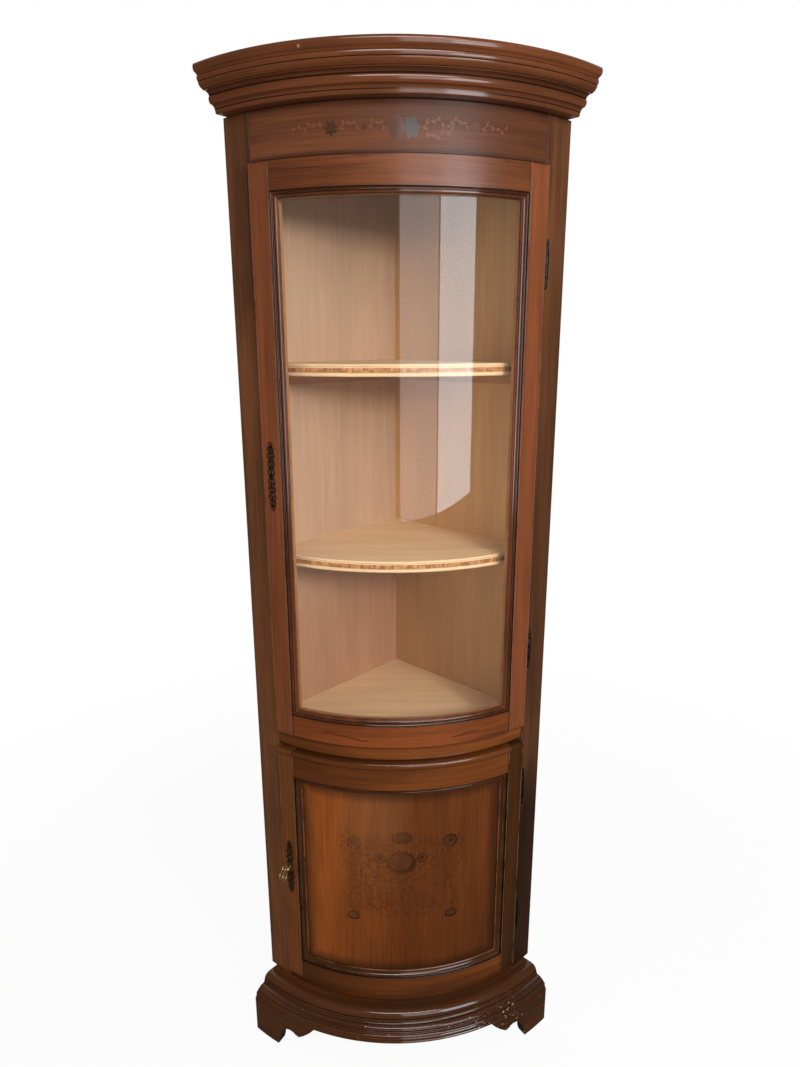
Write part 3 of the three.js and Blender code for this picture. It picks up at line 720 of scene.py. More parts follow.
def stem(graph, given):
    """A ribbon of veneer along a path, tapering to its end."""
    sheet, share, across = grid(graph, given["Along points"], 3)
    sample = graph.add(
        "GeometryNodeSampleCurve", {"Curves": curve_from(graph, given), "Factor": share}, mode="FACTOR")
    x, y, _ = sample["Tangent"].parts()
    wide = (given["Width"] * (1.0 - given["Taper"] * share)).to("MAXIMUM", given["Least width"])
    off = graph.xyz(y * -1.0, x).scale(wide * across)
    return laid(graph, given, placed(graph, sheet, sample["Position"].vector("ADD", off)))


def leaves(graph, given):
    """Leaves set to either side of a path in turn."""
    points = graph.add("GeometryNodeCurveToPoints", {
        "Curve": curve_from(graph, given), "Count": given["Leaves"]})
    leaf, share, across = grid(graph, 9, 3)
    belly = (share * math.pi).to("SINE").to("MAXIMUM", 0.02)
    leaf = placed(graph, leaf, graph.xyz(share * given["Leaf length"], across * belly * given["Leaf width"]))
    side = graph.add("GeometryNodeInputIndex")[0].to("MODULO", 2.0) * 2.0 - 1.0
    x, y, _ = points["Tangent"].parts()
    turn = y.to("ARCTAN2", x) + side * given["Spread"]
    return laid(graph, given, planted(graph, points["Points"], leaf, turn))


def stringing(graph, given):
    """A row of small square inlays round the bow, in a level top."""
    step = 2.0 / (given["Squares"] - 1)
    points = graph.add("GeometryNodeMeshLine", {
        "Count": given["Squares"], "Start Location": (-1, 0, 0), "Offset": graph.xyz(step)})[0]
    points = stored(graph, points, "turn", where(graph).parts()[0] * given["Half angle"])
    turn = named(graph, "turn")
    points = placed(graph, points, bow_point(graph, given, turn, given["Radius"], given["Level"]))
    return planted(graph, points, graph.add("GeometryNodeMeshCube", {"Size": given["Square"]})[0], turn)


def tubes(graph, given):
    """Round metal drawn along paths, as thick as their points say."""
    ring = graph.add("GeometryNodeCurvePrimitiveCircle", {"Resolution": given["Round"], "Radius": 1.0})[0]
    return graph.add("GeometryNodeCurveToMesh", {
        "Curve": curve_from(graph, given), "Profile Curve": ring, "Scale": named(graph, "thick"),
        "Fill Caps": True})[0]


def scrollwork(graph, given):
    """Round metal, flattened and laid on the bow."""
    x, y, z = where(graph).parts()
    pressed = placed(graph, tubes(graph, given), graph.xyz(x, y, z * given["Flatness"]))
    return graph.use(bend_tree, {
        "Geometry": pressed, "Face radius": given["Face radius"], "Angle": given["Angle"],
        "Level": given["Level"]})[0]


def casting(graph, given):
    """Round metal (out, up) in an upright plane that stands out from the bow."""
    out, up, aside = where(graph).parts()
    radius = given["Neck radius"] + out
    sine = given["Angle"].to("SINE")
    cosine = given["Angle"].to("COSINE")
    x = radius * sine + aside * cosine
    y = given["Bow centre"] - radius * cosine + aside * sine
    return placed(graph, tubes(graph, given), graph.xyz(x, y, given["Level"] + up))


CENTRE = {"Bow centre": CENTRE_Y}
PLACE_ON_BOW = {"Face radius": BOW_RADIUS, "Angle": 0.0, "Level": 0.0}
SLIP = {"Thickness": INLAY_THICKNESS, "Lift": 0.05 * MM, "Face radius": BOW_RADIUS}
bend_tree = new_group("GeometryNodeTree", "laid on the bow", bend, {**CENTRE, **PLACE_ON_BOW})
slab_tree = new_group("GeometryNodeTree", "slab from a sheet", slab, {"Thickness": INLAY_THICKNESS})
run_tree = shape_tree("moulding run", moulding_run, {
    **CENTRE, "Wall depth": 0.4, "Bow radius": BOW_RADIUS, "Steps": BOW_STEPS})
frame_tree = shape_tree("moulding frame", moulding_frame, {
    **CENTRE, "Half angle": 0.5, "Face radius": BOW_RADIUS, "Bottom": 0.0, "Top": 1.0,
    "Cuts": BOW_STEPS // 2})
flower_tree = shape_tree("inlaid flower", flower, {
    **SLIP, "Along": 0.0, "Up": 0.0, "Width": 30 * MM, "Height": 30 * MM, "Petals": 6.0, "Notch": 0.2,
    "Turn": 0.0, "Roundness": 0.6, "Around": 73})
stem_tree = shape_tree("inlaid stem", stem, {
    **SLIP, "Width": 1.5 * MM, "Least width": 0.05 * MM, "Taper": 0.7, "Along points": 40})
leaves_tree = shape_tree("inlaid leaves along a stem", leaves, {
    **SLIP, "Leaves": 6, "Leaf length": 9 * MM, "Leaf width": 3.4 * MM, "Spread": 0.7})
stringing_tree = shape_tree("row of small inlays", stringing, {
    **CENTRE, "Squares": FLOOR_SQUARES, "Half angle": FLOOR_SQUARES_END, "Radius": BOW_RADIUS, "Level": 0.0,
    "Square": FLOOR_SQUARE})
scroll_tree = shape_tree("scrollwork", scrollwork, {**PLACE_ON_BOW, "Round": 10, "Flatness": 0.75})
casting_tree = shape_tree("casting on edge", casting, {
    **CENTRE, "Round": 12, "Neck radius": BOW_RADIUS, "Angle": 0.0, "Level": 0.0})


def moulded(node, body, tree, sizes, outline, material, slot):
    mesh = grown(f"{node}_run", tree, {**sizes, "Material": material}, wire_mesh(
        node, [[(p.x, p.y, 0) for p in outline]], closed=True, relief=crests(outline)))
    face_outwards(mesh)
    return dress(f"{node}_run", mesh, body, material, slot, node)


def moulding(node, profile, material, slot):
    """A moulded length from one wall to the other, with its back against the posts."""
    span = Span(node)
    face = [Vector((BOW_RADIUS + p.x * MM, span.bottom + p.y * MM)) for p in rounded(profile)]
    outline = [Vector((span.inner, face[0].y)), *face[1:-1], Vector((span.inner, face[-1].y))]
    return moulded(node, "cabinet", run_tree, {"Wall depth": span.wall_depth}, outline, material, slot)


def door_moulding(node, body, profile, material, slot):
    """A mitred moulding round a door's opening, its profile scaled to the room that the frame gives it."""
    span = Span(node)
    width = MOULDING_WIDTHS[node]
    depth = span.outer - span.inner
    outline = [Vector((p.x * width, span.inner + p.y * depth)) for p in rounded(profile)]
    sizes = {"Half angle": span.right, "Face radius": span.outer, "Bottom": span.bottom, "Top": span.top}
    return moulded(node, body, frame_tree, sizes, outline, material, slot)


# Finishes

# How far from a board's edge its dark seam reaches, a dark joint with painted shade, and where the light line
# inside it, rubbed wear with a painted highlight, starts and ends
SEAM = (0.8 * MM, 2.2 * MM)
RUBBED_FROM = (0.6 * MM, 1.4 * MM)
RUBBED_TO = (2.0 * MM, 3.4 * MM)
BUMP_DEPTH = 0.3 * MM
# Wavy streaks in the upper door's bottom rail: from, to (along), height at either end
WAVY_STREAKS = [(-0.158, -0.062, 0.7795, 0.7655), (0.094, 0.152, 0.768, 0.776)]
STREAK_WANDER = 12 * MM
STREAK_EDGE = (0.3 * MM, 1.8 * MM)
# The middle height of the inlaid field on the panel
INLAY_FIELD_MIDDLE = 0.449
# A nick in the cornice's top edge: along the bow, up, and its reach
NICK = (-0.1378, 1.9398, 3.6 * MM)
# Chips in the base's finish stay below this
CHIPS_BELOW = 0.125
# Where the back panels' outer faces lie, as the sum of the distances aside and back, and their plain skin
WALL_BACK = max(abs(vertex.co.x) + vertex.co.y for vertex in nodes["left_back_panel"].data.vertices)
WALL_SKIN = 3 * MM
# The power in the screen's transfer curve
SCREEN_GAMMA = 2.4


def colour(red, green, blue):
    """A colour given in the 0-255 values a screen shows, as Blender's own linear values."""
    def linear(value):
        share = min(value, 255) / 255
        return share / 12.92 if share <= 0.04045 else ((share + 0.055) / 1.055) ** SCREEN_GAMMA
    return (linear(red), linear(green), linear(blue), 1.0)


def scaled(tone, share):
    return colour(*(value * share for value in tone))


def unroll(graph, given):
    """Object coordinates unrolled: along the bow, out from its axis, up."""
    x, y, z = graph.object_place().parts()
    back = CENTRE_Y - y
    radius = (x.to("POWER", 2.0) + back.to("POWER", 2.0)).to("SQRT")
    return {"Place": graph.xyz(x.to("ARCTAN2", back) * BOW_RADIUS, radius, z)}


def figure_wood(graph, given):
    """Broad tone, fibres and pores of wood whose grain runs along the place's X."""
    place = given["Place"].vector("ADD", graph.xyz(given["Seed"], given["Seed"]))

    def stretched(along, across, *kind):
        return place.vector("MULTIPLY", (along, across, across)).scale(given["Grain size"]).noise(1.0, *kind)

    tone = stretched(1.6, 9.0, 3.0, 0.55, 0.8) * 0.6 + stretched(2.4, 60.0, 4.0, 0.6, 0.5) * 0.4
    return {
        "Tone": tone.span(0.34, 0.66),
        "Fibre": stretched(7.0, 460.0, 2.0, 0.6),
        "Pores": stretched(26.0, 1100.0, 1.0, 0.5).span(0.62, 0.72)}


def age(graph, given):
    """Darkens hollows, seams and the rim of a board towards the glaze, as glaze and painted shade, and
    lightens its arrises and crests, as rubbed wear and painted highlights.
    """
    relief = graph.add("ShaderNodeAttribute", attribute_name="relief")["Fac"]
    edges = graph.add("ShaderNodeAttribute", attribute_name="edges")
    split = graph.add("ShaderNodeSeparateColor", {0: edges["Color"]})
    sides = split[0].to("MAXIMUM", split[1])
    near = FAR - sides.to("MAXIMUM", split[2].to("MAXIMUM", edges["Alpha"]))
    # Painted shade: the rim, hollows and seams are darkened towards the glaze colour, partly real glaze and
    # dark joints, partly painted shade.
    rim = (1.0 - near.span(0.0, given["Rim width"])) * given["Rim shade"]
    hollow = (relief * -1.0).span(0.1, 0.5) * given["Hollow shade"]
    seam = (1.0 - near.span(*SEAM)) * given["Seam shade"]
    shade = rim.to("MAXIMUM", hollow).to("MAXIMUM", seam, clamp=True)
    dark = graph.mix(shade, given["Colour"], given["Glaze"])
    # Painted highlight: the light lines on arrises and crests are partly rubbed wear, partly painted
    # highlights of rounded edges and beads.
    aside = FAR - sides
    arris = (aside.span(*RUBBED_FROM) - aside.span(*RUBBED_TO)) * given["Arris wear"]
    crest = relief.span(0.12, 0.7) * given["Crest wear"]
    streaks = unrolled(graph)[0].noise((14.0, 30.0, 30.0), 4.0, 0.65)
    worn = arris.to("MAXIMUM", crest).to("MULTIPLY", streaks.span(0.3, 0.6), clamp=True)
    return {"Colour": graph.mix(worn, dark, given["Rubbed"]), "Worn": worn}


def handle(graph, given):
    """A faint unevenness for polish: roughness that wanders and a few fine scuffs."""
    place = graph.object_place()
    both = place.noise(9.0, 4.0, 0.6) * 0.7 + place.noise(160.0, 2.0, 0.6) * 0.3
    return {"Roughness": given["Roughness"] + (both - 0.5) * given["Unevenness"] * 4.0}


def chip(graph, given):
    """Small pale chips where the finish has gone, only below a height and mostly to the right."""
    place = graph.object_place()
    x, _, z = place.parts()
    bent = graph.add("ShaderNodeTexNoise", {"Vector": place, "Scale": 90.0, "Detail": 3.0})["Color"]
    drawn = graph.add("ShaderNodeVectorMath", {
        0: bent, 1: (0.02, 0.02, 0.02), 2: place}, operation="MULTIPLY_ADD")
    cells = graph.add("ShaderNodeTexVoronoi", {"Vector": drawn[0], "Scale": 130.0})
    chosen = graph.add("ShaderNodeSeparateColor", {0: cells["Color"]})[0]
    here = 0.12 + x.span(0.12, 0.18, 0.0, 1.8) * x.span(0.24, 0.3, 1.0, 0.1)
    ragged = cells["Distance"] + place.noise(400.0) * 0.2
    spot = (1.0 - ragged.span(0.26, 0.34)) * chosen.to("LESS_THAN", given["Share"] * here)
    bare = spot * (1.0 - z.span(given["Below"] * 0.8, given["Below"]))
    return {"Colour": graph.mix(bare, given["Colour"], given["Bare wood"])}


GREY = (0.5, 0.5, 0.5, 1.0)
bow_place = new_group("ShaderNodeTree", "unrolled bow", unroll, {})


def unrolled(graph):
    """The place on the unrolled bow, and its parts: along, out from the axis, up."""
    place = graph.use(bow_place)["Place"]
    return place, *place.parts()


wood_figure = new_group("ShaderNodeTree", "wood figure", figure_wood, {
    "Place": (0.0, 0.0, 0.0), "Grain size": 1.0, "Seed": 0.0})
patina = new_group("ShaderNodeTree", "patina", age, {
    "Colour": GREY, "Glaze": GREY, "Rubbed": GREY, "Hollow shade": 0.75, "Rim shade": 0.3,
    "Rim width": 12 * MM, "Seam shade": 0.85, "Arris wear": 0.5, "Crest wear": 0.12})
handled = new_group("ShaderNodeTree", "handled surface", handle, {"Roughness": 0.35, "Unevenness": 0.1})
pale_chips = new_group("ShaderNodeTree", "pale chips", chip, {
    "Colour": GREY, "Bare wood": GREY, "Below": CHIPS_BELOW, "Share": 0.2})


def new_material(name):
    material = bpy.data.materials.new(name)
    material.use_nodes = True
    material.node_tree.nodes.clear()
    return material, Graph(material.node_tree)


def surfaced(graph, tone, relief, strength, roughness, unevenness, more):
    """Ends a material: its colour, an uneven roughness, a faint relief and more of the shader's inputs."""
    rough = graph.use(handled, {"Roughness": roughness, "Unevenness": unevenness})[0]
    bump = graph.add("ShaderNodeBump", {"Height": relief, "Strength": strength, "Distance": BUMP_DEPTH})[0]
    shader = graph.add("ShaderNodeBsdfPrincipled", {
        "Base Color": tone, "Roughness": rough, "Normal": bump, **more})
    graph.add("ShaderNodeOutputMaterial", {"Surface": shader[0]})


def grain_place(graph, place, along):
    """A place turned so that X follows the grain."""
    if along != "up":
        return place
    x, y, z = place.parts()
    return graph.xyz(z, x, y)


def tinted(graph, tone, share):
    """A colour made lighter or darker by a share that changes over the surface."""
    grey = graph.add("ShaderNodeCombineColor", {0: share, 1: share, 2: share})[0]
    return graph.mix(1.0, tone, grey, "MULTIPLY")


def figured(graph, place, size, seed, mean, contrast, fibre_low, fibre_high):
    """Wood's figure, and its mean tone varied by broad figure and fibres."""
    figure = graph.use(wood_figure, {"Place": place, "Grain size": size, "Seed": seed})
    tone = graph.mix(figure["Tone"], scaled(mean, 1 - contrast), scaled(mean, 1 + contrast))
    return figure, tinted(graph, tone, figure["Fibre"].span(0.3, 0.7, fibre_low, fibre_high))


def polished_wood(name, mean, along, seed, contrast=0.17, rubbed=(150, 112, 88), rim_shade=0.3,
                  rim_width=12 * MM, hollow_shade=0.75, arris_wear=0.5, crest_wear=0.12, gloss=0.85,
                  coat_roughness=0.14, seam_shade=0.85, extra=None):
    """Stained and polished wood with a patina, painted shade and painted highlights. The extra changes its
    tone over the surface: streaks, nicks and chips, and painted light and shade.
    """
    material, graph = new_material(name)
    place = grain_place(graph, unrolled(graph)[0], along)
    figure, tone = figured(graph, place, 1.0, seed, mean, contrast, 0.86, 1.12)
    tone = graph.mix(figure["Pores"] * 0.16, tone, scaled(mean, 0.45))
    if extra:
        tone = extra(graph, tone)
    worn = graph.use(patina, {
        "Colour": tone, "Glaze": colour(22, 11, 6), "Rubbed": colour(*rubbed), "Hollow shade": hollow_shade,
        "Rim shade": rim_shade, "Rim width": rim_width, "Seam shade": seam_shade, "Arris wear": arris_wear,
        "Crest wear": crest_wear})
    coat = (1.0 - worn["Worn"] * 0.25) * gloss
    surfaced(graph, worn["Colour"], figure["Fibre"] - figure["Pores"] * 0.6, 0.1, 0.42, 0.1, {
        "Specular IOR Level": 0.08, "Coat Weight": coat, "Coat Roughness": coat_roughness})
    return material


def light_wood(name, mean, along, seed, roughness=0.5, contrast=0.08, low=(0.92, 0.92, 0.92)):
    """The light wood inside, with fine even grain and no patina, with painted shade that makes it darker and
    browner low down, and plain behind.
    """
    material, graph = new_material(name)
    place = graph.object_place()
    x, y, z = place.parts()
    figure, tone = figured(graph, grain_place(graph, place, along), 1.3, seed, mean, contrast, 0.95, 1.04)
    # Painted shade: darker and browner low down, by the given shares.
    browner = graph.mix(1.0, tone, tuple(share ** 2.2 for share in low) + (1.0,), "MULTIPLY")
    tone = graph.mix(z.span(0.9, 1.14), browner, tone)
    behind = (x.to("ABSOLUTE") + y).span(WALL_BACK - WALL_SKIN, WALL_BACK - WALL_SKIN / 2)
    plain = graph.mix(figure["Tone"], colour(112, 82, 56), colour(128, 96, 66))
    surfaced(graph, graph.mix(behind, tone, plain), figure["Fibre"], 0.08, roughness, 0.06, {
        "Specular IOR Level": 0.3})
    return material


def cross_band_wood():
    """The short-grained strip let into a shelf's edge, mottled light and orange."""
    material, graph = new_material("cross band")
    place = unrolled(graph)[0]
    grain = place.noise((420.0, 30.0, 60.0), 3.0, 0.6)
    both = grain * 0.5 + place.noise((90.0, 10.0, 120.0), 3.0, 0.6) * 0.5
    tone = graph.mix(both.span(0.4, 0.6), colour(138, 84, 40), colour(206, 146, 88))
    surfaced(graph, tone, grain, 0.1, 0.45, 0.06, {"Specular IOR Level": 0.3})
    return material


def inlay_wood(name, mean, seed):
    """A slip of stained veneer, faded close to its ground."""
    material, graph = new_material(name)
    figure, tone = figured(graph, unrolled(graph)[0], 2.2, seed, mean, 0.05, 0.9, 1.08)
    surfaced(graph, tone, figure["Fibre"], 0.1, 0.42, 0.1, {
        "Specular IOR Level": 0.12, "Coat Weight": 0.7, "Coat Roughness": 0.12})
    return material


def faded_veneer(name, mean, seed):
    """A slip of veneer in the panel that shares its ground's changes of tone, its painted light and shade
    among them.
    """
    return polished_wood(name, mean, "up", seed, contrast=0.06, gloss=0.7, extra=panel_figure)


def aged_metal(name, deep, bright, rubbed, roughness, seed, metallic=0.8):
    material, graph = new_material(name)
    place = graph.object_place()
    cloud = place.vector("ADD", (seed, 0, 0)).noise(240.0, 4.0, 0.65)
    tone = graph.mix(cloud.span(0.35, 0.65), colour(*deep), colour(*bright))
    tone = graph.mix(place.noise(900.0, 2.0, 0.6).span(0.56, 0.7, 0.0, 0.5), tone, colour(*rubbed))
    surfaced(graph, tone, cloud, 0.2, roughness, 0.1, {"Metallic": metallic})
    return material


def make_glass():
    """Clear glass that lets light through to what stands behind it."""
    material, graph = new_material("bent window glass")
    smear = unrolled(graph)[0].noise((30.0, 1.0, 4.0), 4.0, 0.6)
    white = (1.0, 1.0, 1.0, 1.0)
    glassy = graph.add("ShaderNodeBsdfPrincipled", {
        "Base Color": white, "Roughness": smear.span(0.45, 0.8, 0.0, 0.04), "IOR": 1.34,
        "Transmission Weight": 1.0})
    clear = graph.add("ShaderNodeBsdfTransparent", {"Color": white})
    light = graph.add("ShaderNodeLightPath")
    through = light["Is Shadow Ray"].to("MAXIMUM", light["Is Diffuse Ray"])
    mixed = graph.add("ShaderNodeMixShader", {0: through, 1: glassy[0], 2: clear[0]})
    graph.add("ShaderNodeOutputMaterial", {"Surface": mixed[0]})
    return material


def dark_hole():
    # The near-black of a sheet laid where the keyhole is: a painted shadow of the hole.
    material, graph = new_material("keyhole dark")
    tone = graph.mix(graph.object_place().noise(600.0), colour(6, 5, 4), colour(18, 14, 10))
    shader = graph.add("ShaderNodeBsdfPrincipled", {
        "Base Color": tone, "Roughness": 0.8, "Specular IOR Level": 0.1})
    graph.add("ShaderNodeOutputMaterial", {"Surface": shader[0]})
    return material


# What changes a wood's tone over its surface: painted light and shade, streaks, nicks and chips

ASIDE = 0
UP = 2


def shaded(*ramps):
    """Painted light and shade: tone that changes by ramps, given as the axis, from and to where, and the
    share of the tone at either end.
    """
    def shade(graph, tone):
        place = graph.object_place().parts()
        for axis, low, high, before, after in ramps:
            tone = tinted(graph, tone, place[axis].span(low, high, before, after))
        return tone
    return shade


# Painted shade: darker to the left, to the right, low down, and both to the left and low down, where less
# light falls.
darker_left = shaded((ASIDE, -0.22, 0.02, 0.6, 1.0))
darker_right = shaded((ASIDE, -0.14, 0.0, 1.0, 0.8))
darker_low = shaded((UP, 1.5, 1.75, 0.62, 0.92), (UP, 0.52, 0.68, 0.38, 1.0))
aged_low = shaded((ASIDE, -0.2, 0.2, 0.86, 1.0), (UP, 0.75, 1.4, 0.8, 1.0))


def mineral_streaks(graph, tone):
    """Dark streaks that run along the bow, in a wood with painted shade to both sides and warmer low down."""
    # Painted shade to the left, then to the right.
    tone = darker_left(graph, tone)
    place, along, _, level = unrolled(graph)
    tone = tinted(graph, tone, along.span(0.04, 0.18, 1.0, 0.78))
    warmer = graph.mix(1.0, tone, (1.28, 1.12, 0.85, 1.0), "MULTIPLY")
    tone = graph.mix(level.span(0.9, 1.6), warmer, tone)
    streak = place.noise((7.0, 20.0, 190.0), 3.0, 0.55, 0.6)
    tone = graph.mix(streak.span(0.57, 0.7, 0.0, 0.5), tone, colour(48, 22, 10))
    wander = (graph.xyz(along * 70.0).noise(1.0, 3.0, 0.6) - 0.5) * STREAK_WANDER
    for start, end, start_level, end_level in WAVY_STREAKS:
        share = (along - start) / (end - start)
        middle = start_level + share * (end_level - start_level)
        line = 1.0 - (middle + wander - level).to("ABSOLUTE").span(*STREAK_EDGE)
        within = share.span(-0.02, 0.08) * (1.0 - share.span(0.9, 1.02))
        tone = graph.mix(line * (within * 0.75), tone, colour(40, 18, 8))
    return tone


def panel_figure(graph, tone):
    """Warm bands to either side of a greyer middle: painted light brightens the left, the grey is a painted
    reflection, painted shade darkens it lower down, and a darker mottled field lies under the inlay.
    """
    place, along, _, level = unrolled(graph)
    # Painted light: brighter to the left, and a little brighter to the right.
    tone = tinted(graph, tone, along.span(-0.16, 0.03, 2.0, 1.0))
    tone = tinted(graph, tone, along.span(0.0, 0.16, 1.0, 1.08))
    # Painted shade lower down.
    tone = tinted(graph, tone, level.span(0.25, 0.5, 0.84, 1.05))
    # A painted reflection: a greyish haze left of the middle.
    grey = level.span(0.36, 0.56) * (1.0 - (along + 0.06).to("ABSOLUTE").span(0.02, 0.1))
    tone = graph.mix(grey * 0.45, tone, colour(128, 82, 50))
    fine = place.noise((330.0, 1.0, 11.0), 3.0, 0.6)
    tone = tinted(graph, tone, fine.span(0.3, 0.7, 0.88, 1.1))
    solid = graph.object_place()
    edge = solid.noise(26.0, 3.0, 0.6) * 0.05
    beside = 1.0 - (along.to("ABSOLUTE") + edge).span(0.115, 0.17)
    above = 1.0 - ((level - INLAY_FIELD_MIDDLE).to("ABSOLUTE") + edge).span(0.09, 0.145)
    field = beside * above * solid.noise(150.0, 4.0, 0.7).span(0.35, 0.65, 0.1, 0.5)
    return graph.mix(field, tone, colour(74, 40, 18))


def nicked(graph, tone):
    """One pale nick where the finish has gone."""
    place, along, _, level = unrolled(graph)
    nick_along, nick_up, reach = NICK
    away = ((along - nick_along).to("POWER", 2.0) + (level - nick_up).to("POWER", 2.0)).to("SQRT")
    ragged = away + place.noise(320.0, 3.0) * reach
    return graph.mix(1.0 - ragged.span(reach * 0.9, reach * 1.2), tone, colour(158, 114, 86))


def chipped(graph, tone):
    return graph.use(pale_chips, {"Colour": tone, "Bare wood": colour(196, 158, 122), "Share": 0.3})["Colour"]


post_wood = polished_wood("post wood", (101, 62, 37), "up", 0.0, seam_shade=0.6, arris_wear=0.25)
# A copy of the post wood for the right post, with painted shade low down.
right_post_wood = polished_wood(
    "right post wood", (101, 62, 37), "up", 1.5, seam_shade=0.6, arris_wear=0.25, extra=darker_low)
# Painted shade: a broad dark rim along its top and bottom, the shadow under the cornice, and darker to the
# right.
frieze_wood = polished_wood(
    "frieze wood", (106, 62, 38), "bow", 3.1, rim_shade=0.5, rim_width=10 * MM, gloss=0.4,
    coat_roughness=0.26, extra=darker_right)
# Its dark tone is partly dark glaze, partly painted shadow under the proud door, and it is painted darker to
# the left.
bottom_rail_wood = polished_wood(
    "bottom rail wood", (88, 46, 15), "bow", 5.3, arris_wear=0.2, extra=darker_left)
cornice_wood = polished_wood(
    "cornice wood", (97, 54, 30), "bow", 7.7, rubbed=(150, 96, 62), hollow_shade=0.9, crest_wear=0.2,
    gloss=0.9, coat_roughness=0.12, extra=nicked)
base_wood = polished_wood(
    "base wood", (78, 43, 20), "bow", 8.9, rubbed=(130, 84, 52), hollow_shade=0.85, crest_wear=0.15,
    arris_wear=0.25, gloss=1.0, coat_roughness=0.08, extra=chipped)
# The upper stiles carry painted shade to the left and low down.
stile_wood = polished_wood(
    "upper door wood, grain up", (130, 72, 42), "up", 11.3, contrast=0.11, rim_shade=0.15, extra=aged_low)
# The upper door's rails carry mineral streaks and painted shade to both sides.
upper_rail_wood = polished_wood(
    "upper door wood, grain along", (114, 62, 30), "bow", 17.9, rim_shade=0.15, gloss=0.7,
    coat_roughness=0.26, extra=mineral_streaks)
glazing_wood = polished_wood(
    "glazing moulding wood", (92, 49, 27), "up", 12.1, rubbed=(156, 104, 76), hollow_shade=0.9,
    crest_wear=0.35, gloss=1.0, coat_roughness=0.1)
# Painted shade to the left.
middle_rail_wood = polished_wood("middle rail wood", (116, 63, 26), "bow", 19.5, extra=darker_left)
lower_stile_wood = polished_wood("lower door wood, grain up", (98, 56, 24), "up", 13.7, rim_shade=0.2)
# A darker copy of the lower stile wood for the right stile: painted shade.
dark_stile_wood = polished_wood(
    "lower right stile wood", (66, 37, 12), "up", 14.9, rim_shade=0.2, gloss=0.5)
# Painted shade to the left.
lower_rail_wood = polished_wood(
    "lower door wood, grain along", (104, 55, 20), "bow", 15.1, rim_shade=0.2, extra=darker_left)
panel_moulding_wood = polished_wood(
    "panel moulding wood", (66, 35, 12), "up", 12.9, rubbed=(150, 104, 72), hollow_shade=0.95,
    crest_wear=0.55, gloss=1.0, coat_roughness=0.1)
# Its broad dark rim by the moulding is glaze and painted shade; its figure carries painted light and shade.
panel_wood = polished_wood(
    "panel veneer", (98, 50, 16), "up", 23.0, contrast=0.1, rim_shade=0.6, rim_width=30 * MM, arris_wear=0.0,
    gloss=0.7, seam_shade=0.95, extra=panel_figure)
left_wall_wood = light_wood(
    "left wall veneer", (188, 154, 124), "up", 2.0, contrast=0.04, low=(0.94, 0.84, 0.77))
right_wall_wood = light_wood(
    "right wall veneer", (203, 159, 105), "up", 27.0, contrast=0.04, low=(0.91, 0.88, 0.81))
shelf_wood = light_wood(
    "shelf wood", (238, 203, 156), "across", 5.0, roughness=0.42, contrast=0.04, low=(0.95, 0.94, 0.93))
inside_wood = light_wood("inside wood", (170, 122, 82), "across", 9.0)
band_wood = cross_band_wood()
inlay_brown = inlay_wood("brown inlay", (74, 47, 27), 31.0)
inlay_mauve = inlay_wood("mauve inlay", (90, 58, 46), 33.0)
inlay_grey = inlay_wood("grey inlay", (76, 66, 60), 35.0)
inlay_red = inlay_wood("red-brown inlay", (92, 44, 20), 37.0)
inlay_faded = inlay_wood("faded inlay", (119, 72, 45), 39.0)
panel_dark = faded_veneer("panel flowers, dark", (52, 27, 9), 41.0)
panel_mid = faded_veneer("panel flowers, middling", (80, 44, 20), 43.0)
panel_scroll = faded_veneer("panel scrolls", (92, 48, 19), 45.0)
panel_shade = faded_veneer("panel stems", (80, 40, 13), 47.0)
hinge_bronze = aged_metal("hinge bronze", (14, 12, 10), (32, 27, 21), (96, 82, 66), 0.34, 0.0, metallic=0.6)
plate_bronze = aged_metal("lock plate bronze", (19, 18, 11), (44, 40, 27), (190, 176, 144), 0.3, 4.0)
key_brass = aged_metal("key brass", (170, 136, 88), (220, 192, 142), (240, 222, 184), 0.25, 8.0)
lock_steel = aged_metal("lock steel", (92, 88, 84), (142, 138, 132), (176, 172, 166), 0.4, 12.0)
keyhole_dark = dark_hole()
glass = make_glass()


# The case


def build_case():
    for node, side, wood in (("left_post", -1, post_wood), ("right_post", 1, right_post_wood)):
        def wall(radius, side=side, depth=Span(node).wall_depth):
            return side * wall_angle(radius, depth)

        end = {"end": wall} if side > 0 else {"start": wall, "holes": [bolt_way("upper"), bolt_way("lower")]}
        bent_board(node, wood, "post_wood", "cabinet", steps=STILE_STEPS, **end)
    for node, wood, slot in (
            ("frieze_rail", frieze_wood, "door_wood"), ("middle_rail", middle_rail_wood, "door_wood"),
            ("bottom_rail", bottom_rail_wood, "post_wood")):
        bent_board(node, wood, slot, "cabinet", open_edges="bt")
    for door in ("upper", "lower"):
        bent_board(f"{door}_door_stop", inside_wood, "inside_wood", "cabinet")
    moulding("cornice", CORNICE_PROFILE, cornice_wood, "post_wood")
    moulding("base_moulding", BASE_PROFILE, base_wood, "post_wood")


def finish_plain_nodes():
    """The frame's own meshes that stay as they are, each with its finish."""
    battens = [f"{shelf}_shelf_{side}_batten" for shelf in ("upper", "lower") for side in ("left", "right")]
    brass = [f"{door}_{part}" for door in ("upper", "lower") for part in ("lock_bolt", "strike_plate")]
    finishes = [
        (post_wood, ["top_board"]), (left_wall_wood, ["left_back_panel"]),
        (right_wall_wood, ["right_back_panel"]), (inside_wood, battens),
        (lock_steel, ["upper_lock_case", "lower_lock_case"]), (key_brass, brass)]
    for material, names in finishes:
        for name in names:
            materials = nodes[name].data.materials
            materials.clear()
            materials.append(material)


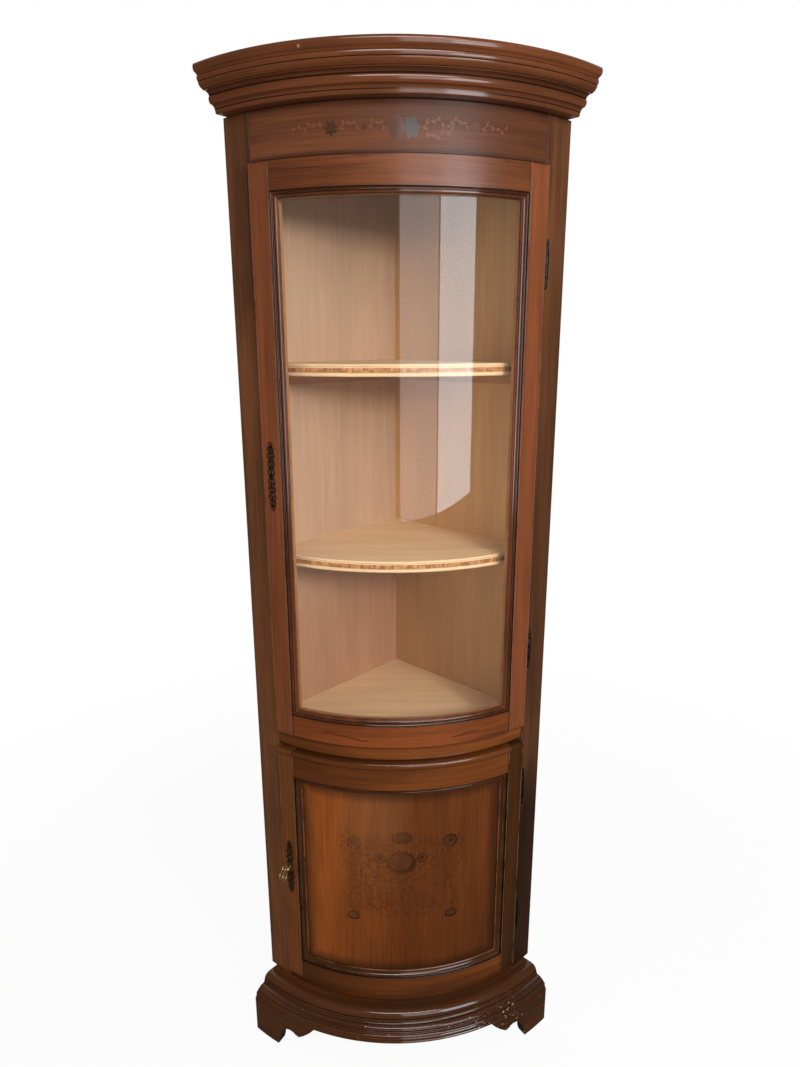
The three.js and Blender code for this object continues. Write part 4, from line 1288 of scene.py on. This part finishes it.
def build_shelves():
    for node in ("upper_shelf", "lower_shelf"):
        span = Span(node)
        rim = [(span.outer + p.x * MM, span.bottom + p.y * MM) for p in rounded(SHELF_EDGE)]
        corner_board(node, rim, shelf_wood, "inside_wood")
        front = span.outer - BAND_SINK
        outline = oblong(front - BAND_DEPTH, front, span.bottom + BAND_LOW, span.bottom + BAND_HIGH)
        end = wall_angle(front, span.wall_depth) - BAND_END_ROOM
        vertices, faces = swept(outline, -end, end)
        piece_from(f"{node}_cross_band", vertices, faces, "cabinet", band_wood, "inside_wood")
    for node in ("display_floor", "cupboard_floor"):
        eased_copy(node, shelf_wood, "inside_wood")
    floor = Span("display_floor")
    row = grown("display_floor_stringing", stringing_tree, {
        "Radius": floor.outer - FLOOR_SQUARES_INSET, "Level": floor.top, "Material": inlay_brown})
    dress("display_floor_stringing", row, "cabinet", inlay_brown, "inside_wood")


def build_feet():
    bracket_foot("left_bracket_foot", -1)
    bracket_foot("right_bracket_foot", 1)
    eased_copy("rear_foot", base_wood, "post_wood", ease=REAR_FOOT_EASE)


def bracket_foot(node, side):
    """A bowed board with a shaped cut, whose outer end lies on the wall plane."""
    span = Span(node)
    cut = [(p.x * MM / span.outer, p.y * MM) for p in reversed(rounded(FOOT_CUT))]
    tip = cut[-1][0]
    columns = [(angle, level, 0.0) for angle, level in cut]
    columns += [(tip, 0.0, step / FOOT_TURN_STEPS) for step in range(1, FOOT_TURN_STEPS + 1)]
    vertices = []
    edges = []
    for angle, level, share in columns:
        for radius, height in oblong(span.inner, span.outer, level, span.top):
            to_wall = share * (wall_angle(radius, span.wall_depth) - tip) if share else 0.0
            vertices.append(on_bow(radius, side * (angle + to_wall), height))
            edges.append((FAR - (height - level), 0.0, 0.0, 0.0))
    faces = ring_faces(4, len(columns))
    last = 4 * (len(columns) - 1)
    faces += [(0, 1, 2, 3), (last, last + 1, last + 2, last + 3)]
    piece_from(
        f"{node}_wood", vertices, faces, "cabinet", base_wood, "post_wood", node, ease=FOOT_EASE, edges=edges)


# The doors


def build_doors():
    for door, left, right, level in (
            ("upper", stile_wood, stile_wood, upper_rail_wood),
            ("lower", lower_stile_wood, dark_stile_wood, lower_rail_wood)):
        body = f"{door}_door"
        bead_board(f"{body}_left_stile", door, left, STILE_STEPS)
        bead_board(f"{body}_right_stile", door, right, STILE_STEPS)
        bead_board(f"{body}_top_rail", door, level, BOW_STEPS)
        bent_board(f"{body}_bottom_rail", level, "door_wood", body, open_edges="bt")
        for side in ("left", "right", "top", "bottom"):
            bent_board(f"{body}_{side}_bead", inside_wood, "inside_wood", body, ease=BEAD_EASE)
    door_moulding("upper_door_moulding", "upper_door", GLAZING_PROFILE, glazing_wood, "door_wood")
    door_moulding("lower_door_moulding", "lower_door", PANEL_PROFILE, panel_moulding_wood, "door_wood")
    bent_board("upper_door_glass", glass, "glass", "upper_door", ease=GLASS_EASE)
    opening = Span("lower_door_moulding")
    width = MOULDING_WIDTHS["lower_door_moulding"]
    aside = width / opening.outer
    sight = (opening.left + aside, opening.right - aside, opening.bottom + width, opening.top - width)
    bent_board("lower_door_panel", panel_wood, "panel_wood", "lower_door", ease=0.0, sight=sight)


def bead_board(node, door, material, steps):
    """A stile or top rail. Those of the lower door carry a half-round bead along the top."""
    span = Span(node)
    shape = {}
    if door == "lower":
        face = Span("lower_door_bottom_rail").outer
        half = TOP_BEAD_HEIGHT / 2
        middle = span.top - half
        low = middle - half
        turns = [math.pi * (step / NOSE_STEPS - 0.5) for step in range(NOSE_STEPS + 1)]
        proud = span.outer - face
        nose = [(face + proud * math.cos(turn), middle + half * math.sin(turn)) for turn in turns]
        shape["outline"] = [
            (span.inner, span.bottom), (face, span.bottom), (face, low - TOP_BEAD_QUIRK),
            (face - TOP_BEAD_QUIRK, low - TOP_BEAD_QUIRK / 2), *nose, (span.inner, span.top)]
        shape["sight"] = (span.left, span.right, span.bottom, span.top + BEAD_SEAM)
        shape["ease"] = 0.0
    bent_board(node, material, "door_wood", f"{door}_door", steps=steps, **shape,
               open_edges="lrbt" if "stile" in node else "bt",
               holes=[bolt_way(door)] if "left_stile" in node else [])


# Inlay: flowers as (along, up, width, height, petals, notch, turn, roundness, lift, material), in millimetres

FRIEZE_FLOWERS = [
    (-112.3, 1842, 25, 24, 7, 0.42, 0.3, 0.8, 0.10, inlay_brown),
    (-58.7, 1842, 7.5, 8, 3, 0.05, 0, 1, 0.10, inlay_red),
    (-8.4, 1842.5, 28, 36, 9, 0.12, 0.2, 0.7, 0.06, inlay_mauve),
    (16.5, 1841, 31, 34, 6, 0.34, 0.1, 0.7, 0.12, inlay_grey),
    (121.6, 1845, 16, 20, 5, 0.08, 0.4, 1, 0.10, inlay_mauve),
]
PANEL_FLOWERS = [
    (-100, 525, 32, 32, 9, 0.14, 0.1, 0.6, 0.06, panel_dark),
    (-99, 524, 27, 27, 7, 0.1, 0.4, 0.6, 0.12, panel_mid),
    (-103, 528, 12, 13, 5, 0.12, 0.3, 0.6, 0.18, panel_dark),
    (100, 525, 34, 34, 9, 0.14, 0.1, 0.6, 0.06, panel_dark),
    (98, 524, 25, 25, 7, 0.12, 0.4, 0.6, 0.12, panel_mid),
    (102, 527, 10, 11, 5, 0.12, 0.3, 0.6, 0.18, panel_dark),
    (-103.5, 346, 29, 22, 3, 0.1, 1.57, 0.8, 0.06, panel_dark),
    (-104.5, 347, 22, 14, 3, 0.1, 1.57, 1, 0.12, panel_mid),
    (103.5, 346, 29, 22, 3, 0.1, 1.57, 0.8, 0.06, panel_dark),
    (102.5, 347, 21, 13, 3, 0.1, 1.57, 1, 0.12, panel_mid),
    (0, 541, 42, 30, 2, 0.06, 0, 1, 0.06, panel_dark),
    (0, 542, 37, 23, 2, 0.06, 0, 1, 0.12, panel_mid),
    (1, 541, 28, 15, 2, 0.06, 0, 1, 0.18, panel_dark),
    (1, 542, 24, 10, 2, 0.06, 0, 1, 0.24, panel_mid),
    (-1, 481, 66, 60, 12, 0.12, 0.3, 0.6, 0.06, panel_shade),
    (-1, 483, 59, 52, 9, 0.07, 0.1, 0.6, 0.12, panel_dark),
    (-4, 485, 50, 42, 5, 0.05, 0.2, 0.6, 0.18, panel_mid),
    (-2, 478, 36, 16, 2, 0.03, 0, 0.6, 0.24, panel_shade),
    (-4, 482, 38, 19, 2, 0.03, 0, 0.6, 0.3, panel_mid),
    (-45, 492, 25, 24, 6, 0.1, 0, 0.6, 0.08, panel_dark),
    (-45, 492, 20, 19, 6, 0.1, 0, 0.6, 0.14, panel_scroll),
    (-46, 493, 10, 11, 5, 0.2, 0, 0.6, 0.2, panel_dark),
    (41, 492, 24, 23, 6, 0.1, 0, 0.6, 0.08, panel_dark),
    (41, 492, 18, 17, 6, 0.1, 0, 0.6, 0.14, panel_scroll),
    (40, 493, 9, 10, 5, 0.2, 0, 0.6, 0.2, panel_dark),
]
# Half of the panel's scrollwork, mirrored for the other side: along, up
PANEL_STEMS = [
    [(10, 452), (26, 440), (44, 446), (58, 462), (72, 470), (88, 462), (94, 448)],
    [(26, 520), (40, 532), (58, 530), (72, 520), (84, 522)],
    [(30, 470), (46, 474), (62, 486), (78, 498), (90, 510)],
    [(94, 508), (106, 490), (110, 468), (102, 444), (88, 428), (72, 424)],
    [(8, 446), (12, 424), (28, 408), (48, 402), (64, 390), (76, 372), (92, 358)],
    [(70, 380), (54, 370), (38, 372), (28, 384)],
    [(4, 440), (2, 410), (0, 380), (10, 360), (26, 352), (44, 356)],
    [(104, 358), (112, 378), (110, 400), (100, 416)],
    [(120, 540), (124, 510), (122, 470)],
]
FRIEZE_STEMS = [
    [(-128, 1846), (-142, 1850), (-158, 1844), (-172, 1847)],
    [(-98, 1840), (-86, 1850), (-74, 1846), (-64, 1842)],
    [(-52, 1842), (-42, 1850), (-32, 1846), (-24, 1840)],
    [(34, 1840), (46, 1850), (60, 1852), (72, 1844)],
    [(40, 1834), (54, 1828), (66, 1834), (80, 1838)],
    [(78, 1850), (92, 1854), (102, 1848), (112, 1846)],
    [(132, 1844), (146, 1850), (160, 1844), (174, 1846)],
]
# Spirals in the panel, mirrored too: along, up, radius, start and turns
PANEL_CURLS = [(60, 452, 9, 0.25, 1.1), (34, 388, 8, 0.5, -1.1)]
CURL_POINTS = 36
CURL_END_SHARE = 0.25


def curl(along, up, radius, start, turns):
    """A spiral's points, from its outer end inwards. Angles in turns, sizes in millimetres."""
    line = []
    for step in range(CURL_POINTS):
        share = step / (CURL_POINTS - 1)
        reach = radius * (1 + (CURL_END_SHARE - 1) * share) * MM
        angle = 2 * math.pi * (start + turns * share)
        line.append((along * MM + reach * math.cos(angle), up * MM + reach * math.sin(angle), 0))
    return line


def sweep_line(points, steps=10):
    """A smooth line through a few points."""
    line = []
    ends_twice = [points[0], *points, points[-1]]
    for index in range(len(points) - 1):
        before, start, end, after = ends_twice[index:index + 4]
        for step in range(steps):
            t = step / steps
            line.append(tuple(0.5 * (
                2 * b + (c - a) * t + (2 * a - 5 * b + 4 * c - d) * t ** 2 + (3 * b - a - 3 * c + d) * t ** 3)
                for a, b, c, d in zip(before, start, end, after)))
    line.append(tuple(points[-1]))
    return line


def flat_line(points, mirror=1):
    return [(mirror * x * MM, z * MM, 0) for x, z in sweep_line(points)]


def build_flowers(word, flowers, body, slot, face):
    """The flowers on one face, all of one veneer as one piece."""
    groups = {}
    for along, up, width, height, petals, notch, turn, roundness, lift, material in flowers:
        mesh = grown("flower", flower_tree, {
            "Along": along * MM, "Up": up * MM, "Width": width * MM, "Height": height * MM,
            "Petals": float(petals), "Notch": notch, "Turn": float(turn), "Roundness": float(roundness),
            "Lift": lift * MM, "Face radius": face, "Material": material})
        groups.setdefault(material, []).append(mesh)
    for material, meshes in groups.items():
        piece = "_".join((word, *material.name.replace(",", "").replace("-", "_").split()))
        joined_piece(piece, meshes, body, material, slot)


def build_slips(piece, tree, lines, sizes, lift, material, body, slot, face):
    """What a tree makes of each line, together one piece. Each lies a hair above the last."""
    meshes = []
    for index, line in enumerate(lines):
        meshes.append(grown(piece, tree, {
            **sizes, "Lift": (lift + HAIR * index) * MM, "Face radius": face, "Material": material},
            wire_mesh(piece, [line])))
    joined_piece(piece, meshes, body, material, slot)


def build_inlays():
    frieze = ("cabinet", "door_wood", Span("frieze_rail").outer)
    panel = ("lower_door", "panel_wood", Span("lower_door_panel").outer)
    build_flowers("frieze", FRIEZE_FLOWERS, *frieze)
    build_flowers("panel", PANEL_FLOWERS, *panel)
    stems = [flat_line(points, way) for points in PANEL_STEMS for way in (-1, 1)]
    curls = [
        curl(way * along, up, radius, start, way * turns)
        for along, up, radius, start, turns in PANEL_CURLS for way in (-1, 1)]
    build_slips("panel_stems", stem_tree, stems + curls, {
        "Width": 1.7 * MM, "Taper": 0.5}, 0.04, panel_shade, *panel)
    build_slips("panel_leaves", leaves_tree, stems, {
        "Leaves": 7, "Leaf length": 10 * MM, "Leaf width": 3.4 * MM}, 0.05, panel_shade, *panel)
    stems = [flat_line(points) for points in FRIEZE_STEMS]
    build_slips("frieze_stems", stem_tree, stems, {
        "Width": 1.4 * MM, "Taper": 0.6}, 0.04, inlay_faded, *frieze)
    build_slips("frieze_leaves", leaves_tree, stems, {
        "Leaves": 6, "Leaf length": 9 * MM, "Leaf width": 3.0 * MM}, 0.05, inlay_faded, *frieze)


# Hinges, lock plates and the key

# A hinge half from its joint to its tip: share of the knuckle's radius, then of the half's length
HINGE_HALF = [
    (0.97, 0.0, 0), (1.0, 0.012, 0), (1.0, 0.565, 0), (0.92, 0.585, 0), (0.66, 0.6, 0), (0.66, 0.618, 0),
    (0.96, 0.626, 0), (0.96, 0.652, 0.3), (0.66, 0.66, 0), (0.6, 0.7, 0), (0.62, 0.8, 0), (0.5, 0.835, 0),
    (0.82, 0.88, 0.2), (0.8, 0.93, 0.25), (0.4, 0.99, 0.25),
]
KNUCKLE_RADIUS = 5.2 * MM
HINGE_GAP = 0.3 * MM

# A quarter of a lock plate: scrolls as (across, up, thickness) in millimetres, mirrored both ways
PLATE_SCROLLS = [
    [(3.6, 0, 1.1), (6.3, 4.5, 1.1), (7.2, 9.5, 1.2), (5.9, 13.4, 1.1), (3.5, 14.0, 1.0),
     (2.9, 11.8, 0.9), (4.6, 10.8, 0.8)],
    [(1.8, 15.2, 1.0), (5.2, 17.2, 1.1), (7.3, 22.0, 1.2), (6.6, 27.4, 1.1), (4.0, 29.2, 1.0),
     (2.9, 26.8, 0.9), (4.4, 25.2, 0.8)],
    [(1.2, 28.5, 1.0), (4.8, 32.0, 1.1), (7.4, 37.0, 1.2), (6.6, 41.8, 1.1), (3.8, 43.0, 0.9),
     (3.2, 40.6, 0.8)],
    [(0.9, 42.5, 1.0), (4.4, 45.6, 1.1), (6.6, 50.0, 1.1), (5.4, 54.4, 1.0), (2.8, 54.8, 0.8),
     (2.6, 52.4, 0.8)],
    [(0.6, 54.6, 1.0), (3.2, 57.6, 1.0), (3.6, 60.8, 0.9), (1.6, 63.2, 0.9)],
    [(0.4, 19.5, 0.8), (3.0, 20.6, 0.7), (5.6, 23.6, 0.7)],
    [(0.4, 33.5, 0.8), (2.8, 35.4, 0.7), (4.8, 38.2, 0.7)],
    [(0.3, 46.5, 0.8), (2.2, 48.4, 0.7), (3.6, 50.6, 0.7)],
]
PLATE_KNOBS = [(16.6, 2.5), (19.6, 2.9), (36.0, 2.2), (52.0, 1.8), (62.6, 1.5)]
# The rim round the keyhole: half width, half height and wire. The spine's levels and wire, in millimetres
PLATE_RIM = (2.9, 7.6)
PLATE_RIM_WIRE = 1.0
PLATE_RIM_POINTS = 24
PLATE_SPINE = range(8, 60, 2)
PLATE_SPINE_WIRE = 0.9
PLATE_SCROLL_STEPS = 6
# A knob is drawn in this many steps each way, its radius falling off as if there were a little more
KNOB_STEPS = 6
KNOB_ROUND = 6.3
# The keyhole's half width and half height in millimetres
KEYHOLE_HALF = (1.7, 5.6)
KEYHOLE_LIFT = 0.12 * MM
PLATE_HEIGHT = 0.6 * MM
PLATE_VOXEL = 0.36 * MM

# The key, in its own plane: out from the bow's neck, up and the radius, in millimetres
KEY_LOBES = [(10.6, 9.6, 7.4), (10.6, -9.6, 7.4), (20.4, 0.0, 6.8)]
KEY_INNER_LOOPS = [(12.2, 10.2, 3.1), (12.2, -10.2, 3.1)]
KEY_WIRE = 0.95
KEY_INNER_WIRE = 0.8
KEY_LOBE_POINTS = 28
KEY_INNER_POINTS = 20
# The shank from its tip: out and radius
KEY_SHANK = [
    (-46.4, 2.0), (-45.6, 2.4), (-18.0, 2.4), (-17.0, 2.4), (-12.4, 2.5), (-11.8, 3.4), (-10.6, 3.4),
    (-10.0, 2.3), (-5.4, 2.2), (-4.6, 3.9), (-3.6, 4.1), (-2.6, 3.9), (-2.0, 2.6), (-0.8, 2.6), (0.0, 3.2),
    (1.6, 2.0),
]
KEY_SHANK_STEPS = 2
# How far the neck, where the bow begins, lies inside the key's outer end
KEY_NECK_BACK = 20 * MM
# The bit's bars side by side from the tip: start, step and count, then their reach, steps and radius
KEY_BIT = (1.4, 1.1, 5)
KEY_BIT_REACH = 7.2
KEY_BIT_STEPS = 5
KEY_BIT_RADIUS = 1.1
KEY_VOXEL = 0.3 * MM


def build_hinges():
    joints = {joint["child"]: joint["pos_m"] for joint in frame["joints"] if joint["type"] == "hinge"}
    for door in ("upper_door", "lower_door"):
        for place in ("top", "bottom"):
            name = f"{door}_{place}_hinge"
            meeting = (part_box(f"{name}_door_half")[1].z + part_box(f"{name}_post_half")[0].z) / 2
            build_hinge_half(f"{name}_post_half", "cabinet", -1, meeting, *joints[door][:2])
            build_hinge_half(f"{name}_door_half", door, 1, meeting, *joints[door][:2])


def build_hinge_half(node, body, way, meeting, x, y):
    low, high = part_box(node)
    start = meeting + way * HINGE_GAP / 2
    tip = low.z if way < 0 else high.z
    length = abs(tip - start)
    face = [
        (p.x * KNUCKLE_RADIUS, start + way * p.y * length) for p in rounded(HINGE_HALF, HINGE_ARC_POINTS)]
    vertices, faces = turned([(0, start), *face, (0, tip)], x, y)
    piece_from(f"{node}_turned", vertices, faces, body, hinge_bronze, "hinge_bronze", node)


def ring_line(across, up, half_width, half_height, thick, steps, from_top=False):
    """An oval's points with its wire's radius, in millimetres, from its right end or its top."""
    turns = [2 * math.pi * step / steps for step in range(steps + 1)]
    if from_top:
        return [(across + half_width * math.sin(t), up + half_height * math.cos(t), thick) for t in turns]
    return [(across + half_width * math.cos(t), up + half_height * math.sin(t), thick) for t in turns]


def cast_metal(name, tree, lines, depth, sizes, voxel):
    """Metal along lines of (across, up, thickness) in millimetres, fused as one casting."""
    points = [[(x * MM, z * MM, depth) for x, z, _ in line] for line in lines]
    thick = [t * MM for line in lines for _, _, t in line]
    return grown(name, tree, sizes, wire_mesh(name, points, thick=thick), voxel=voxel)


def build_lock_plate(node, body):
    span = Span(node)
    lines = []
    for points in PLATE_SCROLLS:
        line = sweep_line(points, PLATE_SCROLL_STEPS)
        lines += [[(across * x, up * z, t) for x, z, t in line] for across in (-1, 1) for up in (-1, 1)]
    lines.append(ring_line(0, 0, *PLATE_RIM, PLATE_RIM_WIRE, PLATE_RIM_POINTS, from_top=True))
    lines += [[(0, up * level, PLATE_SPINE_WIRE) for level in PLATE_SPINE] for up in (-1, 1)]
    for level, radius in PLATE_KNOBS:
        for up in (-1, 1):
            lines.append([
                (0, up * level + radius * step / KNOB_STEPS, radius * math.sqrt(1 - (step / KNOB_ROUND) ** 2))
                for step in range(-KNOB_STEPS, KNOB_STEPS + 1)])
    mesh = cast_metal(f"{node}_scrollwork", scroll_tree, lines, PLATE_HEIGHT, {
        "Angle": span.centre, "Level": span.middle, "Face radius": span.inner, "Material": plate_bronze},
        PLATE_VOXEL)
    dress(f"{node}_scrollwork", mesh, body, plate_bronze, "lock_plate_bronze", node)
    # A dark sheet in the keyhole's shape: painted shadow where the hole would be.
    hole = grown(f"{node}_keyhole", flower_tree, {
        "Along": span.inner * span.centre, "Up": span.middle, "Width": 2 * KEYHOLE_HALF[0] * MM,
        "Height": 2 * KEYHOLE_HALF[1] * MM, "Petals": 2.0, "Notch": 0.0, "Turn": math.pi / 2,
        "Roundness": 1.0, "Lift": KEYHOLE_LIFT, "Face radius": span.inner, "Material": keyhole_dark})
    face_outwards(hole)
    dress(f"{node}_keyhole", hole, body, keyhole_dark, "lock_plate_bronze")


def build_key():
    """A turned shank with collars, a bit, and a bow of three open loops, fused as one casting."""
    solid, plate = Span("key"), Span("lower_lock_plate")
    neck = solid.outer - KEY_NECK_BACK
    back = (solid.inner - neck) / MM
    lines = [ring_line(out, up, radius, radius, KEY_WIRE, KEY_LOBE_POINTS) for out, up, radius in KEY_LOBES]
    lines += [
        ring_line(out, up, radius, radius, KEY_INNER_WIRE, KEY_LOBE_POINTS)[:KEY_INNER_POINTS]
        for out, up, radius in KEY_INNER_LOOPS]
    shank = sweep_line([(max(x, back), t) for x, t in KEY_SHANK], KEY_SHANK_STEPS)
    lines.append([(x, 0, t) for x, t in shank])
    start, step, count = KEY_BIT
    for index in range(count):
        place = back + start + step * index
        drops = [drop * KEY_BIT_REACH / KEY_BIT_STEPS for drop in range(KEY_BIT_STEPS + 1)]
        lines.append([(place, -drop, KEY_BIT_RADIUS) for drop in drops])
    mesh = cast_metal("key_casting", casting_tree, lines, 0.0, {
        "Neck radius": neck, "Angle": plate.centre, "Level": plate.middle, "Material": key_brass}, KEY_VOXEL)
    dress("key_casting", mesh, "key", key_brass, "brass", "key")


# The camera, the light and the floor

CAMERA_PLACE = Vector((-0.0458, -1.4355, 1.5170))
CAMERA_YAW = math.radians(1.93)
CAMERA_PITCH = math.radians(14.9)
CAMERA_ROLL = math.radians(-0.14)
CAMERA_LENS = 24.43
SENSOR = 36.0
# Lamps: place, what they face, width, height, power and tint
SOFTBOXES = {
    "key softbox": ((1.2, -2.1, 1.94), (0, 0, 1.1), 0.4, 0.4, 25, (1, 1, 1)),
    "front softbox": ((1.2, -2.4, 2.4), (0.2, 0, 1.2), 1.6, 1.2, 32, (1, 1, 1)),
    "left softbox": ((-2.0, -1.4, 1.1), (0, 0, 0.9), 0.9, 1.4, 10, (1.0, 0.9, 0.8)),
}
# Lamps that are only seen mirrored in the polish and the pane
WINDOWS = {
    "left window": ((0.52, -2.6, 1.55), (0.52, 0, 1.55), 0.94, 1.9, 16, (0.98, 0.96, 1.0)),
    "right window": ((1.6, -2.6, 1.55), (1.6, 0, 1.55), 1.15, 1.9, 50, (0.86, 0.94, 1.0)),
    "high window": ((0.1, -1.8, 3.0), (0, 0, 0.9), 1.8, 0.6, 30, (1.0, 0.95, 0.96)),
}
FLOOR_REACH = 8.0
# The floor turns white between these distances from the cabinet
FLOOR_FADE = (0.8, 2.2)


def build_camera():
    level_ahead = Vector((math.sin(CAMERA_YAW), math.cos(CAMERA_YAW), 0))
    ahead = level_ahead * math.cos(CAMERA_PITCH) - Vector((0, 0, math.sin(CAMERA_PITCH)))
    level = Vector((math.cos(CAMERA_YAW), -math.sin(CAMERA_YAW), 0))
    above = level.cross(ahead)
    across = level * math.cos(CAMERA_ROLL) + above * math.sin(CAMERA_ROLL)
    data = bpy.data.cameras.new("camera")
    data.lens = CAMERA_LENS
    data.sensor_fit = "VERTICAL"
    data.sensor_height = SENSOR
    camera = shown("camera", data)
    turn = Matrix((across, across.cross(ahead), -ahead)).transposed().to_4x4()
    camera.matrix_world = Matrix.Translation(CAMERA_PLACE) @ turn
    bpy.context.scene.camera = camera


def softbox(name, place, target, width, height, power, tint, mirrored):
    data = bpy.data.lights.new(name, "AREA")
    data.shape = "ELLIPSE" if name == "high window" else "RECTANGLE"
    data.size = width
    data.size_y = height
    data.energy = power
    data.color = tint
    lamp = shown(name, data)
    lamp.location = place
    lamp.rotation_euler = (Vector(target) - Vector(place)).to_track_quat("-Z", "Y").to_euler()
    lamp.visible_camera = False
    lamp.visible_diffuse = not mirrored
    lamp.visible_glossy = mirrored
    lamp.visible_transmission = mirrored


def build_light():
    for mirrored, lamps in ((False, SOFTBOXES), (True, WINDOWS)):
        for name, lamp in lamps.items():
            softbox(name, *lamp, mirrored)
    world = bpy.data.worlds.new("studio")
    bpy.context.scene.world = world
    world.use_nodes = True
    world.node_tree.nodes.clear()
    graph = Graph(world.node_tree)
    light = graph.add("ShaderNodeLightPath")
    mirrored = light["Is Glossy Ray"]
    way = graph.add("ShaderNodeTexCoord")["Generated"].parts()
    behind = way[1].span(0.1, 0.8, 0.015, 1.0)
    seen = light["Is Camera Ray"].to("MAXIMUM", light["Is Transmission Ray"]).to("MAXIMUM", mirrored * behind)
    strength = seen.to("MAXIMUM", (1.0 - mirrored) * 0.5)
    background = graph.add("ShaderNodeBackground", {"Color": (1, 1, 1, 1), "Strength": strength})
    graph.add("ShaderNodeOutputWorld", {"Surface": background[0]})


def build_floor():
    """A floor that looks as white as the backdrop, but mirrors and lights the cabinet more dimly."""
    mesh = bpy.data.meshes.new("floor")
    corners = [(x * FLOOR_REACH, y * FLOOR_REACH, 0) for x, y in ((-1, -1), (1, -1), (1, 1), (-1, 1))]
    mesh.from_pydata(corners, [], [(0, 1, 2, 3)])
    floor = shown("floor", mesh)
    material, graph = new_material("pale floor")
    light = graph.add("ShaderNodeLightPath")
    albedo = graph.mix(light["Is Glossy Ray"], (0.55, 0.5, 0.45, 1), (0.05, 0.04, 0.03, 1))
    albedo = graph.mix(light["Is Camera Ray"], albedo, (0.85, 0.85, 0.85, 1))
    diffuse = graph.add("ShaderNodeBsdfDiffuse", {"Color": albedo})
    glow = graph.add("ShaderNodeEmission", {"Color": (1, 1, 1, 1), "Strength": 1.0})
    seen = light["Is Camera Ray"].to("MAXIMUM", light["Is Transmission Ray"])
    away = graph.add("ShaderNodeVectorMath", {0: graph.object_place()}, operation="LENGTH")["Value"]
    share = (seen * away.span(*FLOOR_FADE, 0.93, 1.0)).to("MAXIMUM", light["Is Glossy Ray"] * 0.02)
    mixed = graph.add("ShaderNodeMixShader", {0: share, 1: diffuse[0], 2: glow[0]})
    graph.add("ShaderNodeOutputMaterial", {"Surface": mixed[0]})
    mesh.materials.append(material)


build_camera()
build_case()
build_shelves()
build_feet()
build_doors()
build_inlays()
build_hinges()
build_lock_plate("upper_lock_plate", "upper_door")
build_lock_plate("lower_lock_plate", "lower_door")
build_key()
finish_plain_nodes()
build_light()
build_floor()

bpy.context.scene.view_settings.view_transform = "Standard"
bpy.context.view_layer.update()
